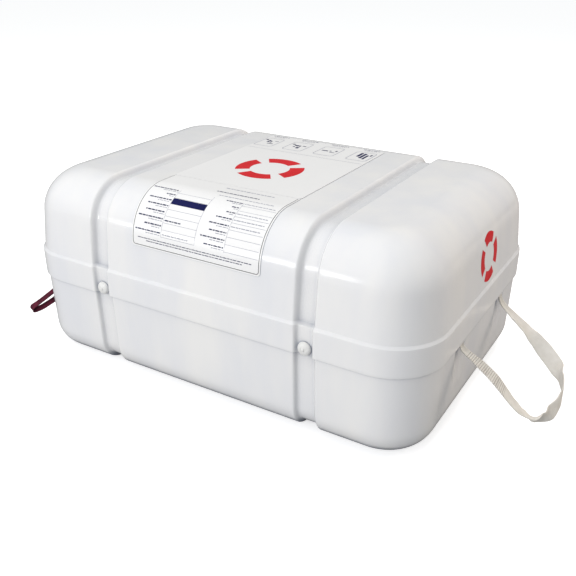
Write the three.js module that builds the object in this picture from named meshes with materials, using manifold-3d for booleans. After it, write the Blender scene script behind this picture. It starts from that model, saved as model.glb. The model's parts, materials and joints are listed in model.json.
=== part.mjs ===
// Liferaft canister: two glass-fibre half shells with strap grooves, bolted at a lapped joint,
// and the packed raft, gas bottle and equipment that they hold.
// Units are millimetres, +Z is up, +X runs along the length towards the carry handle,
// -Y is the labelled front, and the origin is the middle of the underside.
import * as THREE from 'three';
import { mergeVertices } from 'three/addons/utils/BufferGeometryUtils.js';
import Module from 'manifold-3d';

const wasm = await Module();
wasm.setup();

// Overall shell, over the skirt
const LENGTH = 720;
const WIDTH = 488;
const HEIGHT = 318;
const CORNER_RADIUS = 83;
const LAMINATE = 3;
const FIT_GAP = 0.5;
const SEAT_GAP = 0.3;

// Upper shell
const SKIRT_BOTTOM = 141;
const SKIRT_HEIGHT = 43;
const STEP_HEIGHT = 4;
const STEP_INSET = 3;
const UPPER_DRAFT = 5.4;
const UPPER_EDGE_RADIUS = 73;
const UPPER_CORNER_SHRINK = 0.7;

// Lower shell
const RIM_LAP = 37;
const LOWER_DRAFT = 1.5;
const LOWER_EDGE_RADIUS = 47;
const LOWER_CORNER_SHRINK = 1;

// Strap grooves that run right round the shell
const GROOVE_X = 185;
const GROOVE_FLOOR = 23;
const GROOVE_SIDE_ANGLE = 60;
const UPPER_GROOVE_DEPTH = 9.5;
const LOWER_GROOVE_DEPTH = 7;
const BAND_GROOVE_DEPTH = 6.4;
const BAND_JOG_BELOW_SKIRT = 4;
const BAND_JOG_HEIGHT = 5;

// Joint bolts of white nylon
const BOLT_ABOVE_SKIRT_EDGE = 9;
const BOLT_RADIUS = 4;
const BOLT_HEAD_RADIUS = 10.5;
const BOLT_HEAD_HEIGHT = 6.5;
const BOLT_NUB_RADIUS = 2.6;
const BOLT_NUB_HEIGHT = 1.2;
const BOLT_END_PAST_NUT = 2;
const WASHER_RADIUS = 9;
const WASHER_THICKNESS = 1.6;
const NUT_ACROSS_FLATS = 13;
const NUT_THICKNESS = 6.5;

// Labels on the front wall and over the top
const LABEL_LEFT = -116;
const LABEL_RIGHT = 113;
const LABEL_THICKNESS = 0.5;
const LABEL_DROP = 79;
const DATA_LABEL_REACH = 115;
const LABEL_GAP = 1;
const INSTRUCTION_LABEL_BACK_INSET = 84;
const LABEL_CORNER = 5;

// Shallow channels under the skirt, where the webbing comes out
const CHANNEL_DEPTH = 5;
const CHANNEL_ABOVE_SKIRT_EDGE = 26;
const CHANNEL_FADE = 46;
const CHANNEL_FLOOR_HALF = 13;
const CHANNEL_SIDE = 4;

// Webbing and its anchors
const HANDLE_Y = 92;
const HANDLE_WIDTH = 25;
const HANDLE_ROOT_WIDTH = 13;
const HANDLE_THICKNESS = 2.4;
const PAINTER_FROM_FRONT = 94;
const PAINTER_WIDTH = 12;
const PAINTER_THICKNESS = 2.4;
const ANCHOR_HALF_WIDTH = 11;
const ANCHOR_BELOW_SKIRT_EDGE = 1.5;
const ANCHOR_HEIGHT = 25;
const ANCHOR_STUD_RADIUS = 3;
const ANCHOR_STUD_RISE = 12;
const ANCHOR_STUD_PAST_NUT = 2;
const ANCHOR_NUT_ACROSS_FLATS = 10;
const ANCHOR_NUT_THICKNESS = 5;
const GLAND_HALF_WIDTH = 12.5;
const GLAND_TUBE_RADIUS = 5;
const GLAND_TUBE_LENGTH = 14;

// Packed contents
const CYLINDER_RADIUS = 57.5;
const CYLINDER_LENGTH = 380;
const CYLINDER_DOME = 32;
const CYLINDER_NECK_RADIUS = 15;
const CYLINDER_NECK_LENGTH = 16;
const CYLINDER_FROM_FRONT = 102;
const CYLINDER_OFF_MIDDLE = 15;
const SLEEVE_THICKNESS = 1.5;
const SLEEVE_LENGTH = 130;
const CRADLE_BASE = 12;
const CRADLE_HALF_WIDTH = 50;
const CRADLE_LENGTH = 40;
const CRADLE_HEIGHT = 34;
const CRADLE_FROM_MIDDLE = 115;
const VALVE_RADIUS = 19;
const VALVE_LENGTH = 46;
const VALVE_PORT_RADIUS = 9;
const VALVE_PORT_REACH = 34;
const HOSE_RADIUS = 7;
const HOSE_SIDE_STEP = 30;
const HOSE_RISE = 50;
const HOSE_STRAIGHT = 10;
const PACK_END_CLEARANCE = 38;
const PACK_BACK_CLEARANCE = 32;
const PACK_HEAD_ROOM = 6;
const FRONT_BAY_DEPTH = 182;
const PACK_CORNER = 60;
const PACK_EDGE = 42;
const PACK_STRAP_X = 105;
const PACK_STRAP_WIDTH = 40;
const PACK_STRAP_THICKNESS = 2;
const BAG_HALF_LENGTH = 165;
const BAG_FRONT_CLEARANCE = 42;
const BAG_TO_PACK = 6;
const BAG_HEAD_ROOM = 27;
const BAG_CORNER = 45;
const BAG_EDGE = 34;
const HANK_FROM_END = 102;
const HANK_WIDTH = 80;
const HANK_FROM_FRONT = 110;
const HANK_LENGTH = 108;
const HANK_HEIGHT = 52;
const LEAD_RADIUS = 4;
const LEAD_STRAIGHT = 6;
const LEAD_DROP = 36;
const LEAD_ARCH = 22;

// Facets
const CORNER_STEPS = 8;
const SOFT_CORNER_STEPS = 4;
const EDGE_STEPS = 7;
const ROUND_STEPS = 24;
const SMALL_ROUND_STEPS = 16;
const CUT_MARGIN = 2;

const ROOT_TWO_MINUS_ONE = Math.tan(Math.PI / 8);
const radians = THREE.MathUtils.degToRad;
const canister = new THREE.Group();
canister.name = 'liferaft_canister';

// Places that follow from the sizes above
const SKIRT_TOP = SKIRT_BOTTOM + SKIRT_HEIGHT;
const WALL_START = SKIRT_TOP + STEP_HEIGHT;
const RIM_TOP = SKIRT_BOTTOM + RIM_LAP;
const RIM_INSET = LAMINATE + FIT_GAP;
const BOLT_Z = SKIRT_BOTTOM + BOLT_ABOVE_SKIRT_EDGE;
const RIM_END_X = LENGTH / 2 - RIM_INSET;
const CHANNEL_FLOOR_X = RIM_END_X - CHANNEL_DEPTH;
const ANCHOR_BOTTOM = SKIRT_BOTTOM - ANCHOR_BELOW_SKIRT_EDGE;
const ANCHOR_IN_X = CHANNEL_FLOOR_X + SEAT_GAP;
const ANCHOR_OUT_X = LENGTH / 2 - LAMINATE - SEAT_GAP;
const ANCHOR_STUD_Z = ANCHOR_BOTTOM + ANCHOR_STUD_RISE;
const FLOOR_Z = LAMINATE + SEAT_GAP;
const RIDGE_Z = LAMINATE + LOWER_GROOVE_DEPTH + SEAT_GAP;
const FRONT_Y = -WIDTH / 2;
const PAINTER_Y = FRONT_Y + PAINTER_FROM_FRONT;
const CYLINDER_Y = FRONT_Y + CYLINDER_FROM_FRONT;
const CYLINDER_Z = FLOOR_Z + CRADLE_BASE + SEAT_GAP + CYLINDER_RADIUS;
const CYLINDER_START_X = CYLINDER_OFF_MIDDLE - CYLINDER_LENGTH / 2;
const CYLINDER_END_X = CYLINDER_OFF_MIDDLE + CYLINDER_LENGTH / 2;
const PACK_FRONT_Y = FRONT_Y + FRONT_BAY_DEPTH;
const CEILING_Z = HEIGHT - LAMINATE - UPPER_GROOVE_DEPTH;
const HANK_X = HANK_FROM_END - LENGTH / 2;
const HANK_Y = FRONT_Y + HANK_FROM_FRONT;

// Solids from triangles, and back

function toSolid(geometry) {
  const bare = geometry.clone();
  bare.deleteAttribute('normal');
  bare.deleteAttribute('uv');
  const merged = mergeVertices(bare, 1e-4);
  return new wasm.Manifold(new wasm.Mesh({
    numProp: 3,
    vertProperties: new Float32Array(merged.attributes.position.array),
    triVerts: new Uint32Array(merged.index.array),
  }));
}

function toGeometry(solid) {
  const mesh = solid.getMesh();
  const geometry = new THREE.BufferGeometry();
  geometry.setAttribute('position', new THREE.BufferAttribute(mesh.vertProperties, 3));
  geometry.setIndex(new THREE.BufferAttribute(mesh.triVerts, 1));
  geometry.computeVertexNormals();
  return geometry;
}

function addPiece(name, shape, material) {
  const geometry = shape.isBufferGeometry ? shape : toGeometry(shape);
  const piece = new THREE.Mesh(geometry, material);
  piece.name = name;
  canister.add(piece);
  return piece;
}

function signedVolume(points, faces) {
  let volume = 0;
  for (const [a, b, c] of faces) {
    volume += points[a].dot(new THREE.Vector3().crossVectors(points[b], points[c])) / 6;
  }
  return volume;
}

// Skin over a row of rings with equal point counts, closed by a fan at each end
function loft(rings) {
  const count = rings[0].length;
  const points = rings.flat();
  const faces = [];
  for (let row = 0; row + 1 < rings.length; row += 1) {
    for (let k = 0; k < count; k += 1) {
      const a = row * count + k;
      const b = row * count + (k + 1) % count;
      faces.push([a, b, b + count], [a, b + count, a + count]);
    }
  }
  for (const row of [0, rings.length - 1]) {
    const centre = new THREE.Vector3();
    rings[row].forEach((point) => centre.addScaledVector(point, 1 / count));
    const hub = points.push(centre) - 1;
    for (let k = 0; k < count; k += 1) {
      const a = row * count + k;
      const b = row * count + (k + 1) % count;
      faces.push(row === 0 ? [hub, b, a] : [hub, a, b]);
    }
  }
  const inward = signedVolume(points, faces) < 0;
  const index = faces.flatMap(([a, b, c]) => (inward ? [a, c, b] : [a, b, c]));
  const geometry = new THREE.BufferGeometry().setFromPoints(points);
  geometry.setIndex(index);
  return geometry;
}

function box(low, high) {
  const size = new THREE.Vector3().subVectors(high, low);
  const geometry = new THREE.BoxGeometry(size.x, size.y, size.z);
  const centre = new THREE.Vector3().addVectors(low, high).multiplyScalar(0.5);
  return toSolid(geometry.translate(centre.x, centre.y, centre.z));
}

// Solid of revolution from [radius, height] pairs, turned so that its height runs along an axis
function turned(profile, along, place, steps = ROUND_STEPS) {
  const outline = profile.map(([radius, height]) => new THREE.Vector2(radius, height));
  const geometry = new THREE.LatheGeometry(outline, steps);
  const turn = new THREE.Quaternion().setFromUnitVectors(new THREE.Vector3(0, 1, 0), along);
  geometry.applyQuaternion(turn);
  geometry.translate(place.x, place.y, place.z);
  return toSolid(geometry);
}

function rod(radius, length, along, place, steps) {
  return turned([[0, 0], [radius, 0], [radius, length], [0, length]], along, place, steps);
}

// Half shells: rounded-rectangle rings at an inset from the skirt's outside

function roundedRing(halfX, halfY, radius, place, steps = CORNER_STEPS) {
  const corners = [[1, 1, 0], [-1, 1, 1], [-1, -1, 2], [1, -1, 3]];
  const ring = [];
  for (const [signX, signY, quarter] of corners) {
    for (let k = 0; k <= steps; k += 1) {
      const angle = (quarter + k / steps) * Math.PI / 2;
      ring.push(place(
        signX * (halfX - radius) + radius * Math.cos(angle),
        signY * (halfY - radius) + radius * Math.sin(angle),
      ));
    }
  }
  return ring;
}

// Upper shell's outline as [inset, height] pairs from the skirt's edge up to the flat top,
// moved inwards by offset on the wall and by bandOffset on the skirt; skin is the part of
// the offset that is wall thickness, which also lowers the step between the two
function upperProfile(offset, bandOffset, skin, extra) {
  const draft = radians(UPPER_DRAFT);
  const centreZ = HEIGHT - UPPER_EDGE_RADIUS;
  const tangentRise = centreZ + UPPER_EDGE_RADIUS * Math.sin(draft) - WALL_START;
  const centreInset = STEP_INSET + UPPER_EDGE_RADIUS * Math.cos(draft) + tangentRise * Math.tan(draft);
  const arc = UPPER_EDGE_RADIUS - offset;
  const stepDrop = skin / 2;
  const wallZ = WALL_START - stepDrop;
  const wallInset = centreInset - arc * Math.cos(draft)
    - (centreZ + arc * Math.sin(draft) - wallZ) * Math.tan(draft);
  const points = [
    [bandOffset, SKIRT_BOTTOM - extra],
    [bandOffset, SKIRT_TOP - stepDrop],
    [wallInset, wallZ],
  ];
  for (let k = 0; k <= EDGE_STEPS; k += 1) {
    const angle = draft + (Math.PI / 2 - draft) * k / EDGE_STEPS;
    points.push([centreInset - arc * Math.cos(angle), centreZ + arc * Math.sin(angle)]);
  }
  return points;
}

// Lower shell's outline in the same way, from the flat underside up to the rim
function lowerProfile(offset, bandOffset, skin, extra) {
  const draft = radians(LOWER_DRAFT);
  const radius = LOWER_EDGE_RADIUS;
  const tangentDrop = SKIRT_BOTTOM - (radius - radius * Math.sin(draft));
  const centreInset = RIM_INSET + radius * Math.cos(draft) + tangentDrop * Math.tan(draft);
  const arc = radius - offset;
  const jogTop = SKIRT_BOTTOM - BAND_JOG_BELOW_SKIRT - skin / 2;
  const jogBottom = jogTop - BAND_JOG_HEIGHT;
  const drift = (z) => (SKIRT_BOTTOM - z) * Math.tan(draft);
  const points = [];
  for (let k = 0; k <= EDGE_STEPS; k += 1) {
    const angle = Math.PI / 2 + (draft - Math.PI / 2) * k / EDGE_STEPS;
    points.push([centreInset - arc * Math.cos(angle), radius - arc * Math.sin(angle)]);
  }
  points.push([RIM_INSET + offset + drift(jogBottom), jogBottom]);
  points.push([RIM_INSET + bandOffset + drift(jogTop), jogTop]);
  points.push([RIM_INSET + bandOffset, SKIRT_BOTTOM]);
  points.push([RIM_INSET + bandOffset, RIM_TOP + extra]);
  return points;
}

const UPPER = {
  profile: upperProfile,
  shrink: UPPER_CORNER_SHRINK,
  grooveDepth: UPPER_GROOVE_DEPTH,
  baseInset: 0,
  low: SKIRT_BOTTOM - 2 * CUT_MARGIN,
  high: HEIGHT + CUT_MARGIN,
};
const LOWER = {
  profile: lowerProfile,
  shrink: LOWER_CORNER_SHRINK,
  grooveDepth: LOWER_GROOVE_DEPTH,
  baseInset: RIM_INSET,
  low: -CUT_MARGIN,
  high: RIM_TOP + 2 * CUT_MARGIN,
};

function shellBlock(half, offset, extra) {
  const rings = half.profile(offset, offset, offset, extra).map(([inset, z]) => roundedRing(
    LENGTH / 2 - inset,
    WIDTH / 2 - inset,
    CORNER_RADIUS - half.shrink * inset,
    (x, y) => new THREE.Vector3(x, y, z),
  ));
  return toSolid(loft(rings));
}

// One strap groove: a slab across the shell less the core that stays behind its sloping sides
function grooveCut(half, x, offset) {
  const sideAngle = radians(GROOVE_SIDE_ANGLE);
  const floorHalf = GROOVE_FLOOR / 2 + (half.baseInset + offset) * Math.tan(sideAngle / 2);
  const reach = half.grooveDepth + CUT_MARGIN;
  const run = reach / Math.tan(sideAngle);
  const stations = [
    [-floorHalf - run, reach],
    [-floorHalf, 0],
    [floorHalf, 0],
    [floorHalf + run, reach],
  ];
  const rings = stations.map(([along, rise]) => {
    const wall = offset + half.grooveDepth - rise;
    const band = offset + BAND_GROOVE_DEPTH - rise;
    const side = half.profile(wall, band, offset, 3 * CUT_MARGIN);
    const right = side.map(([inset, z]) => new THREE.Vector3(x + along, WIDTH / 2 - inset, z));
    const left = side.map(([inset, z]) => new THREE.Vector3(x + along, inset - WIDTH / 2, z));
    return [...right, ...left.reverse()];
  });
  const slabHalf = floorHalf + run * (1 - CUT_MARGIN / 2 / reach);
  const slab = box(
    new THREE.Vector3(x - slabHalf, -WIDTH, half.low),
    new THREE.Vector3(x + slabHalf, WIDTH, half.high),
  );
  return slab.subtract(toSolid(loft(rings)));
}

// Channel in an end wall: full depth behind the skirt, fading out down the wall below it
function channelCut(end, y, offset) {
  const top = SKIRT_BOTTOM + CHANNEL_ABOVE_SKIRT_EDGE + offset;
  const outside = RIM_END_X + 4 * CUT_MARGIN;
  const full = CHANNEL_FLOOR_HALF + offset * ROOT_TWO_MINUS_ONE;
  const stations = [
    [-full - CHANNEL_SIDE, 0],
    [-full, CHANNEL_DEPTH],
    [full, CHANNEL_DEPTH],
    [full + CHANNEL_SIDE, 0],
  ];
  const rings = stations.map(([across, depth]) => [
    [outside, SKIRT_BOTTOM - CHANNEL_FADE],
    [outside, top],
    [RIM_END_X - offset - depth, top],
    [RIM_END_X - offset - depth, ANCHOR_BOTTOM],
    [RIM_END_X - offset, SKIRT_BOTTOM - CHANNEL_FADE],
  ].map(([x, z]) => new THREE.Vector3(end * x, y + across, z)));
  return toSolid(loft(rings));
}

function shellSolid(half, offset, extra) {
  let solid = shellBlock(half, offset, extra);
  for (const x of [-GROOVE_X, GROOVE_X]) {
    solid = solid.subtract(grooveCut(half, x, offset));
  }
  return solid;
}

function lowerShellSolid(offset, extra) {
  let solid = shellSolid(LOWER, offset, extra);
  for (const [end, y] of [[1, -HANDLE_Y], [1, HANDLE_Y], [-1, PAINTER_Y]]) {
    solid = solid.subtract(channelCut(end, y, offset));
  }
  return solid;
}

// Places of the four joint bolts, with the direction that each head faces
const BOLTS = [
  ['front_left', -GROOVE_X, -1],
  ['front_right', GROOVE_X, -1],
  ['back_left', -GROOVE_X, 1],
  ['back_right', GROOVE_X, 1],
];
const inwards = (side) => new THREE.Vector3(0, -side, 0);
const boltPoint = (x, side, inset) => new THREE.Vector3(x, side * (WIDTH / 2 - inset), BOLT_Z);

const BOLT_HOLES = BOLTS.map(([, x, side]) => rod(
  BOLT_RADIUS + SEAT_GAP,
  UPPER_GROOVE_DEPTH + 4 * LAMINATE,
  inwards(side),
  boltPoint(x, side, 0),
  SMALL_ROUND_STEPS,
));

// Materials

function paint(colour, roughness, metalness = 0) {
  return new THREE.MeshStandardMaterial({ color: colour, roughness, metalness });
}

function buildUpperShell() {
  let shell = shellSolid(UPPER, 0, 0).subtract(shellSolid(UPPER, LAMINATE, CUT_MARGIN));
  for (const hole of BOLT_HOLES) {
    shell = shell.subtract(hole);
  }
  addPiece('upper_shell', shell, paint('#eeeeec', 0.25));
}

function buildLowerShell() {
  let shell = lowerShellSolid(0, 0).subtract(lowerShellSolid(LAMINATE, CUT_MARGIN));
  for (const hole of BOLT_HOLES) {
    shell = shell.subtract(hole);
  }
  const studHole = ANCHOR_STUD_RADIUS + SEAT_GAP;
  const through = CHANNEL_DEPTH + 4 * LAMINATE;
  for (const y of [-HANDLE_Y, HANDLE_Y]) {
    const start = new THREE.Vector3(RIM_END_X, y, ANCHOR_STUD_Z);
    shell = shell.subtract(rod(studHole, through, new THREE.Vector3(-1, 0, 0), start, SMALL_ROUND_STEPS));
  }
  const glandStart = new THREE.Vector3(-RIM_END_X, PAINTER_Y, ANCHOR_STUD_Z);
  const glandHole = GLAND_TUBE_RADIUS + SEAT_GAP;
  shell = shell.subtract(rod(glandHole, through, new THREE.Vector3(1, 0, 0), glandStart, SMALL_ROUND_STEPS));
  addPiece('lower_shell', shell, paint('#e8e9ea', 0.25));
}

// The seal stands on the rim, has its plan shape and fills the space under the skirt's step
function buildSeal() {
  const low = RIM_TOP + SEAT_GAP;
  const high = SKIRT_TOP - LAMINATE / 2;
  const raised = high - RIM_TOP + CUT_MARGIN;
  const wall = shellSolid({ ...LOWER, high: high + 6 * CUT_MARGIN }, 0, raised)
    .subtract(shellSolid({ ...LOWER, high: high + 6 * CUT_MARGIN }, LAMINATE, raised + CUT_MARGIN));
  const slab = box(
    new THREE.Vector3(-LENGTH, -WIDTH, low),
    new THREE.Vector3(LENGTH, WIDTH, high),
  );
  addPiece('joint_seal', wall.intersect(slab), paint('#3a3c40', 0.8));
}

function hexPrism(acrossFlats, length, bore, along, place) {
  const corner = acrossFlats / Math.sqrt(3);
  const body = turned([[0, 0], [corner, 0], [corner, length], [0, length]], along, place, 6);
  const holeStart = place.clone().addScaledVector(along, -CUT_MARGIN);
  const hole = rod(bore, length + 2 * CUT_MARGIN, along, holeStart, SMALL_ROUND_STEPS);
  return body.subtract(hole);
}

function buildBolts() {
  const nylon = () => paint('#f4f4f2', 0.4);
  const wallInside = BAND_GROOVE_DEPTH + LAMINATE + FIT_GAP + LAMINATE;
  const washerIn = wallInside + SEAT_GAP;
  const nutIn = washerIn + WASHER_THICKNESS + SEAT_GAP;
  const headUnder = BAND_GROOVE_DEPTH - SEAT_GAP;
  const shankEnd = nutIn + NUT_THICKNESS + BOLT_END_PAST_NUT;
  const top = -BOLT_HEAD_HEIGHT;
  for (const [place, x, side] of BOLTS) {
    const inward = inwards(side);
    const domed = [
      [0, top - BOLT_NUB_HEIGHT],
      [BOLT_NUB_RADIUS * 0.7, top - BOLT_NUB_HEIGHT],
      [BOLT_NUB_RADIUS, top + 0.2],
      [BOLT_HEAD_RADIUS * 0.55, top + 0.7],
      [BOLT_HEAD_RADIUS * 0.85, top + 2.1],
      [BOLT_HEAD_RADIUS, top + 4],
      [BOLT_HEAD_RADIUS, 0],
      [BOLT_RADIUS, 0],
      [BOLT_RADIUS, shankEnd - headUnder],
      [0, shankEnd - headUnder],
    ];
    const bolt = turned(domed, inward, boltPoint(x, side, headUnder), SMALL_ROUND_STEPS);
    addPiece(`bolt_${place}`, bolt, nylon());
    const washer = [
      [BOLT_RADIUS + SEAT_GAP, 0],
      [WASHER_RADIUS, 0],
      [WASHER_RADIUS, WASHER_THICKNESS],
      [BOLT_RADIUS + SEAT_GAP, WASHER_THICKNESS],
      [BOLT_RADIUS + SEAT_GAP, 0],
    ];
    const ring = turned(washer, inward, boltPoint(x, side, washerIn), SMALL_ROUND_STEPS);
    addPiece(`washer_${place}`, ring, paint('#b9bcc0', 0.35, 0.9));
    const nutPlace = boltPoint(x, side, nutIn);
    const nut = hexPrism(NUT_ACROSS_FLATS, NUT_THICKNESS, BOLT_RADIUS + SEAT_GAP, inward, nutPlace);
    addPiece(`nut_${place}`, nut, nylon());
  }
}

// Labels are thin strips that follow the front wall, the rounded edge and the flat top
function buildLabels() {
  const film = () => paint('#f6f6f6', 0.35);
  const strip = (lift) => {
    const outline = upperProfile(-lift, -lift, -lift, 0).slice(2);
    const [[inset0, z0], [inset1, z1]] = outline;
    const bottom = HEIGHT - LABEL_DROP;
    const share = (bottom - z0) / (z1 - z0);
    const start = [inset0 + (inset1 - inset0) * share, bottom];
    const front = [start, ...outline.slice(1)].map(([inset, z]) => [FRONT_Y + inset, z]);
    return [...front, [FRONT_Y + DATA_LABEL_REACH, HEIGHT + lift]];
  };
  const under = strip(SEAT_GAP);
  const over = strip(SEAT_GAP + LABEL_THICKNESS);
  const shape = new THREE.Shape([...under, ...over.reverse()].map(([y, z]) => new THREE.Vector2(y, z)));
  const data = new THREE.ExtrudeGeometry(shape, { depth: LABEL_RIGHT - LABEL_LEFT, bevelEnabled: false });
  const turn = new THREE.Matrix4().makeBasis(
    new THREE.Vector3(0, 1, 0),
    new THREE.Vector3(0, 0, 1),
    new THREE.Vector3(1, 0, 0),
  );
  data.applyMatrix4(turn);
  data.translate(LABEL_LEFT, 0, 0);
  const halfWidth = (LABEL_RIGHT - LABEL_LEFT) / 2;
  const middle = (LABEL_RIGHT + LABEL_LEFT) / 2;
  const trimmed = toSolid(loft([-WIDTH, WIDTH].map((y) => roundedRing(
    halfWidth,
    LABEL_DROP,
    LABEL_CORNER,
    (x, z) => new THREE.Vector3(x + middle, y, z + HEIGHT),
    SOFT_CORNER_STEPS,
  ))));
  addPiece('data_label', toSolid(data).intersect(trimmed), film());

  const front = FRONT_Y + DATA_LABEL_REACH + LABEL_GAP;
  const back = WIDTH / 2 - INSTRUCTION_LABEL_BACK_INSET;
  const rings = [SEAT_GAP, SEAT_GAP + LABEL_THICKNESS].map((lift) => roundedRing(
    halfWidth,
    (back - front) / 2,
    LABEL_CORNER,
    (x, y) => new THREE.Vector3(
      x + middle,
      y + (front + back) / 2,
      HEIGHT + lift,
    ),
    SOFT_CORNER_STEPS,
  ));
  addPiece('instruction_label', toSolid(loft(rings)), film());
}

// Flat webbing along a route that leaves its root downwards and comes back to it from below:
// each ring is a thin rounded band across the route
function webbing(route, across, widths, thickness) {
  const curve = new THREE.CatmullRomCurve3(route, false, 'centripetal');
  const steps = route.length * 2;
  const rings = [];
  for (let k = 0; k <= steps; k += 1) {
    const t = k / steps;
    const place = curve.getPoint(t);
    const along = curve.getTangent(t);
    if (k === 0 || k === steps) {
      along.set(0, 0, k === 0 ? -1 : 1);
    }
    const spot = t * (route.length - 1);
    const low = Math.min(Math.floor(spot), route.length - 2);
    const share = spot - low;
    const side = across[low].clone().lerp(across[low + 1], share);
    side.addScaledVector(along, -side.dot(along)).normalize();
    const up = new THREE.Vector3().crossVectors(along, side);
    const half = THREE.MathUtils.lerp(widths[low], widths[low + 1], share) / 2;
    const thin = thickness / 2;
    const band = [
      [half, -thin / 2], [half, thin / 2], [half - thin / 2, thin], [thin / 2 - half, thin],
      [-half, thin / 2], [-half, -thin / 2], [thin / 2 - half, -thin], [half - thin / 2, -thin],
    ];
    rings.push(band.map(([s, u]) => place.clone().addScaledVector(side, s).addScaledVector(up, u)));
  }
  return toSolid(loft(rings));
}

const vector = ([x, y, z]) => new THREE.Vector3(x, y, z);

function buildHandle() {
  const rootX = (ANCHOR_IN_X + ANCHOR_OUT_X) / 2;
  const rootZ = ANCHOR_BOTTOM - SEAT_GAP;
  // Middle of the strap from its front root, out and down round the loop, to its back root,
  // measured out from the shell's end, along the width, and up from the skirt's edge
  const loop = [
    [-1, -92, -12], [16, -93, -22], [35, -94, -33], [53, -94, -47], [68, -92, -64],
    [82, -88, -81], [97, -79, -96], [112, -62, -107], [124, -38, -107], [129, -12, -101],
    [126, 15, -92], [111, 42, -82], [87, 62, -70], [65, 74, -57], [44, 82, -45],
    [21, 88, -32], [1, 91, -17],
  ].map(([out, y, rise]) => new THREE.Vector3(LENGTH / 2 + out, y, SKIRT_BOTTOM + rise));
  const route = [
    new THREE.Vector3(rootX, -HANDLE_Y, rootZ),
    ...loop,
    new THREE.Vector3(rootX, HANDLE_Y, rootZ),
  ];
  // Direction across the strap, turning as it banks round the loop
  const across = [
    [0, 1, 0], [0, 1, 0], [0, 1, 0], [0, 1, 0], [0, 1, -0.1],
    [-0.1, 1, -0.25], [-0.25, 1, -0.4], [-0.45, 0.8, -0.6], [-0.6, 0.5, -0.75], [-0.62, 0.2, -0.77],
    [-0.6, 0.2, -0.77], [-0.6, -0.1, -0.7], [-0.5, -0.5, -0.6], [-0.3, -0.8, -0.4], [-0.15, -1, -0.2],
    [0, -1, 0], [0, -1, 0], [0, -1, 0], [0, -1, 0],
  ].map(vector);
  const widths = route.map(() => HANDLE_WIDTH);
  const last = widths.length - 1;
  for (const [index, share] of [[0, 0], [1, 0.25], [2, 0.8]]) {
    const width = HANDLE_ROOT_WIDTH + (HANDLE_WIDTH - HANDLE_ROOT_WIDTH) * share;
    widths[index] = width;
    widths[last - index] = width;
  }
  addPiece('carry_handle', webbing(route, across, widths, HANDLE_THICKNESS), paint('#e3dfd3', 0.85));
}

// Anchors sit in the channels behind the skirt, each held by a stud and nut through the wall
function buildAnchors() {
  const inward = new THREE.Vector3(-1, 0, 0);
  const wallInside = CHANNEL_FLOOR_X - LAMINATE;
  const nutX = wallInside - SEAT_GAP;
  const studEnd = nutX - ANCHOR_NUT_THICKNESS - ANCHOR_STUD_PAST_NUT;
  for (const [place, y] of [['front', -HANDLE_Y], ['back', HANDLE_Y]]) {
    const body = box(
      new THREE.Vector3(ANCHOR_IN_X, y - ANCHOR_HALF_WIDTH, ANCHOR_BOTTOM),
      new THREE.Vector3(ANCHOR_OUT_X, y + ANCHOR_HALF_WIDTH, ANCHOR_BOTTOM + ANCHOR_HEIGHT),
    );
    const start = new THREE.Vector3(ANCHOR_OUT_X - LAMINATE, y, ANCHOR_STUD_Z);
    const stud = rod(ANCHOR_STUD_RADIUS, start.x - studEnd, inward, start, SMALL_ROUND_STEPS);
    addPiece(`handle_anchor_${place}`, body.add(stud), paint('#8d9094', 0.4, 0.9));
    const nut = hexPrism(
      ANCHOR_NUT_ACROSS_FLATS,
      ANCHOR_NUT_THICKNESS,
      ANCHOR_STUD_RADIUS + SEAT_GAP,
      inward,
      new THREE.Vector3(nutX, y, ANCHOR_STUD_Z),
    );
    addPiece(`anchor_nut_${place}`, nut, paint('#a9acb0', 0.35, 0.9));
  }
}

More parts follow.
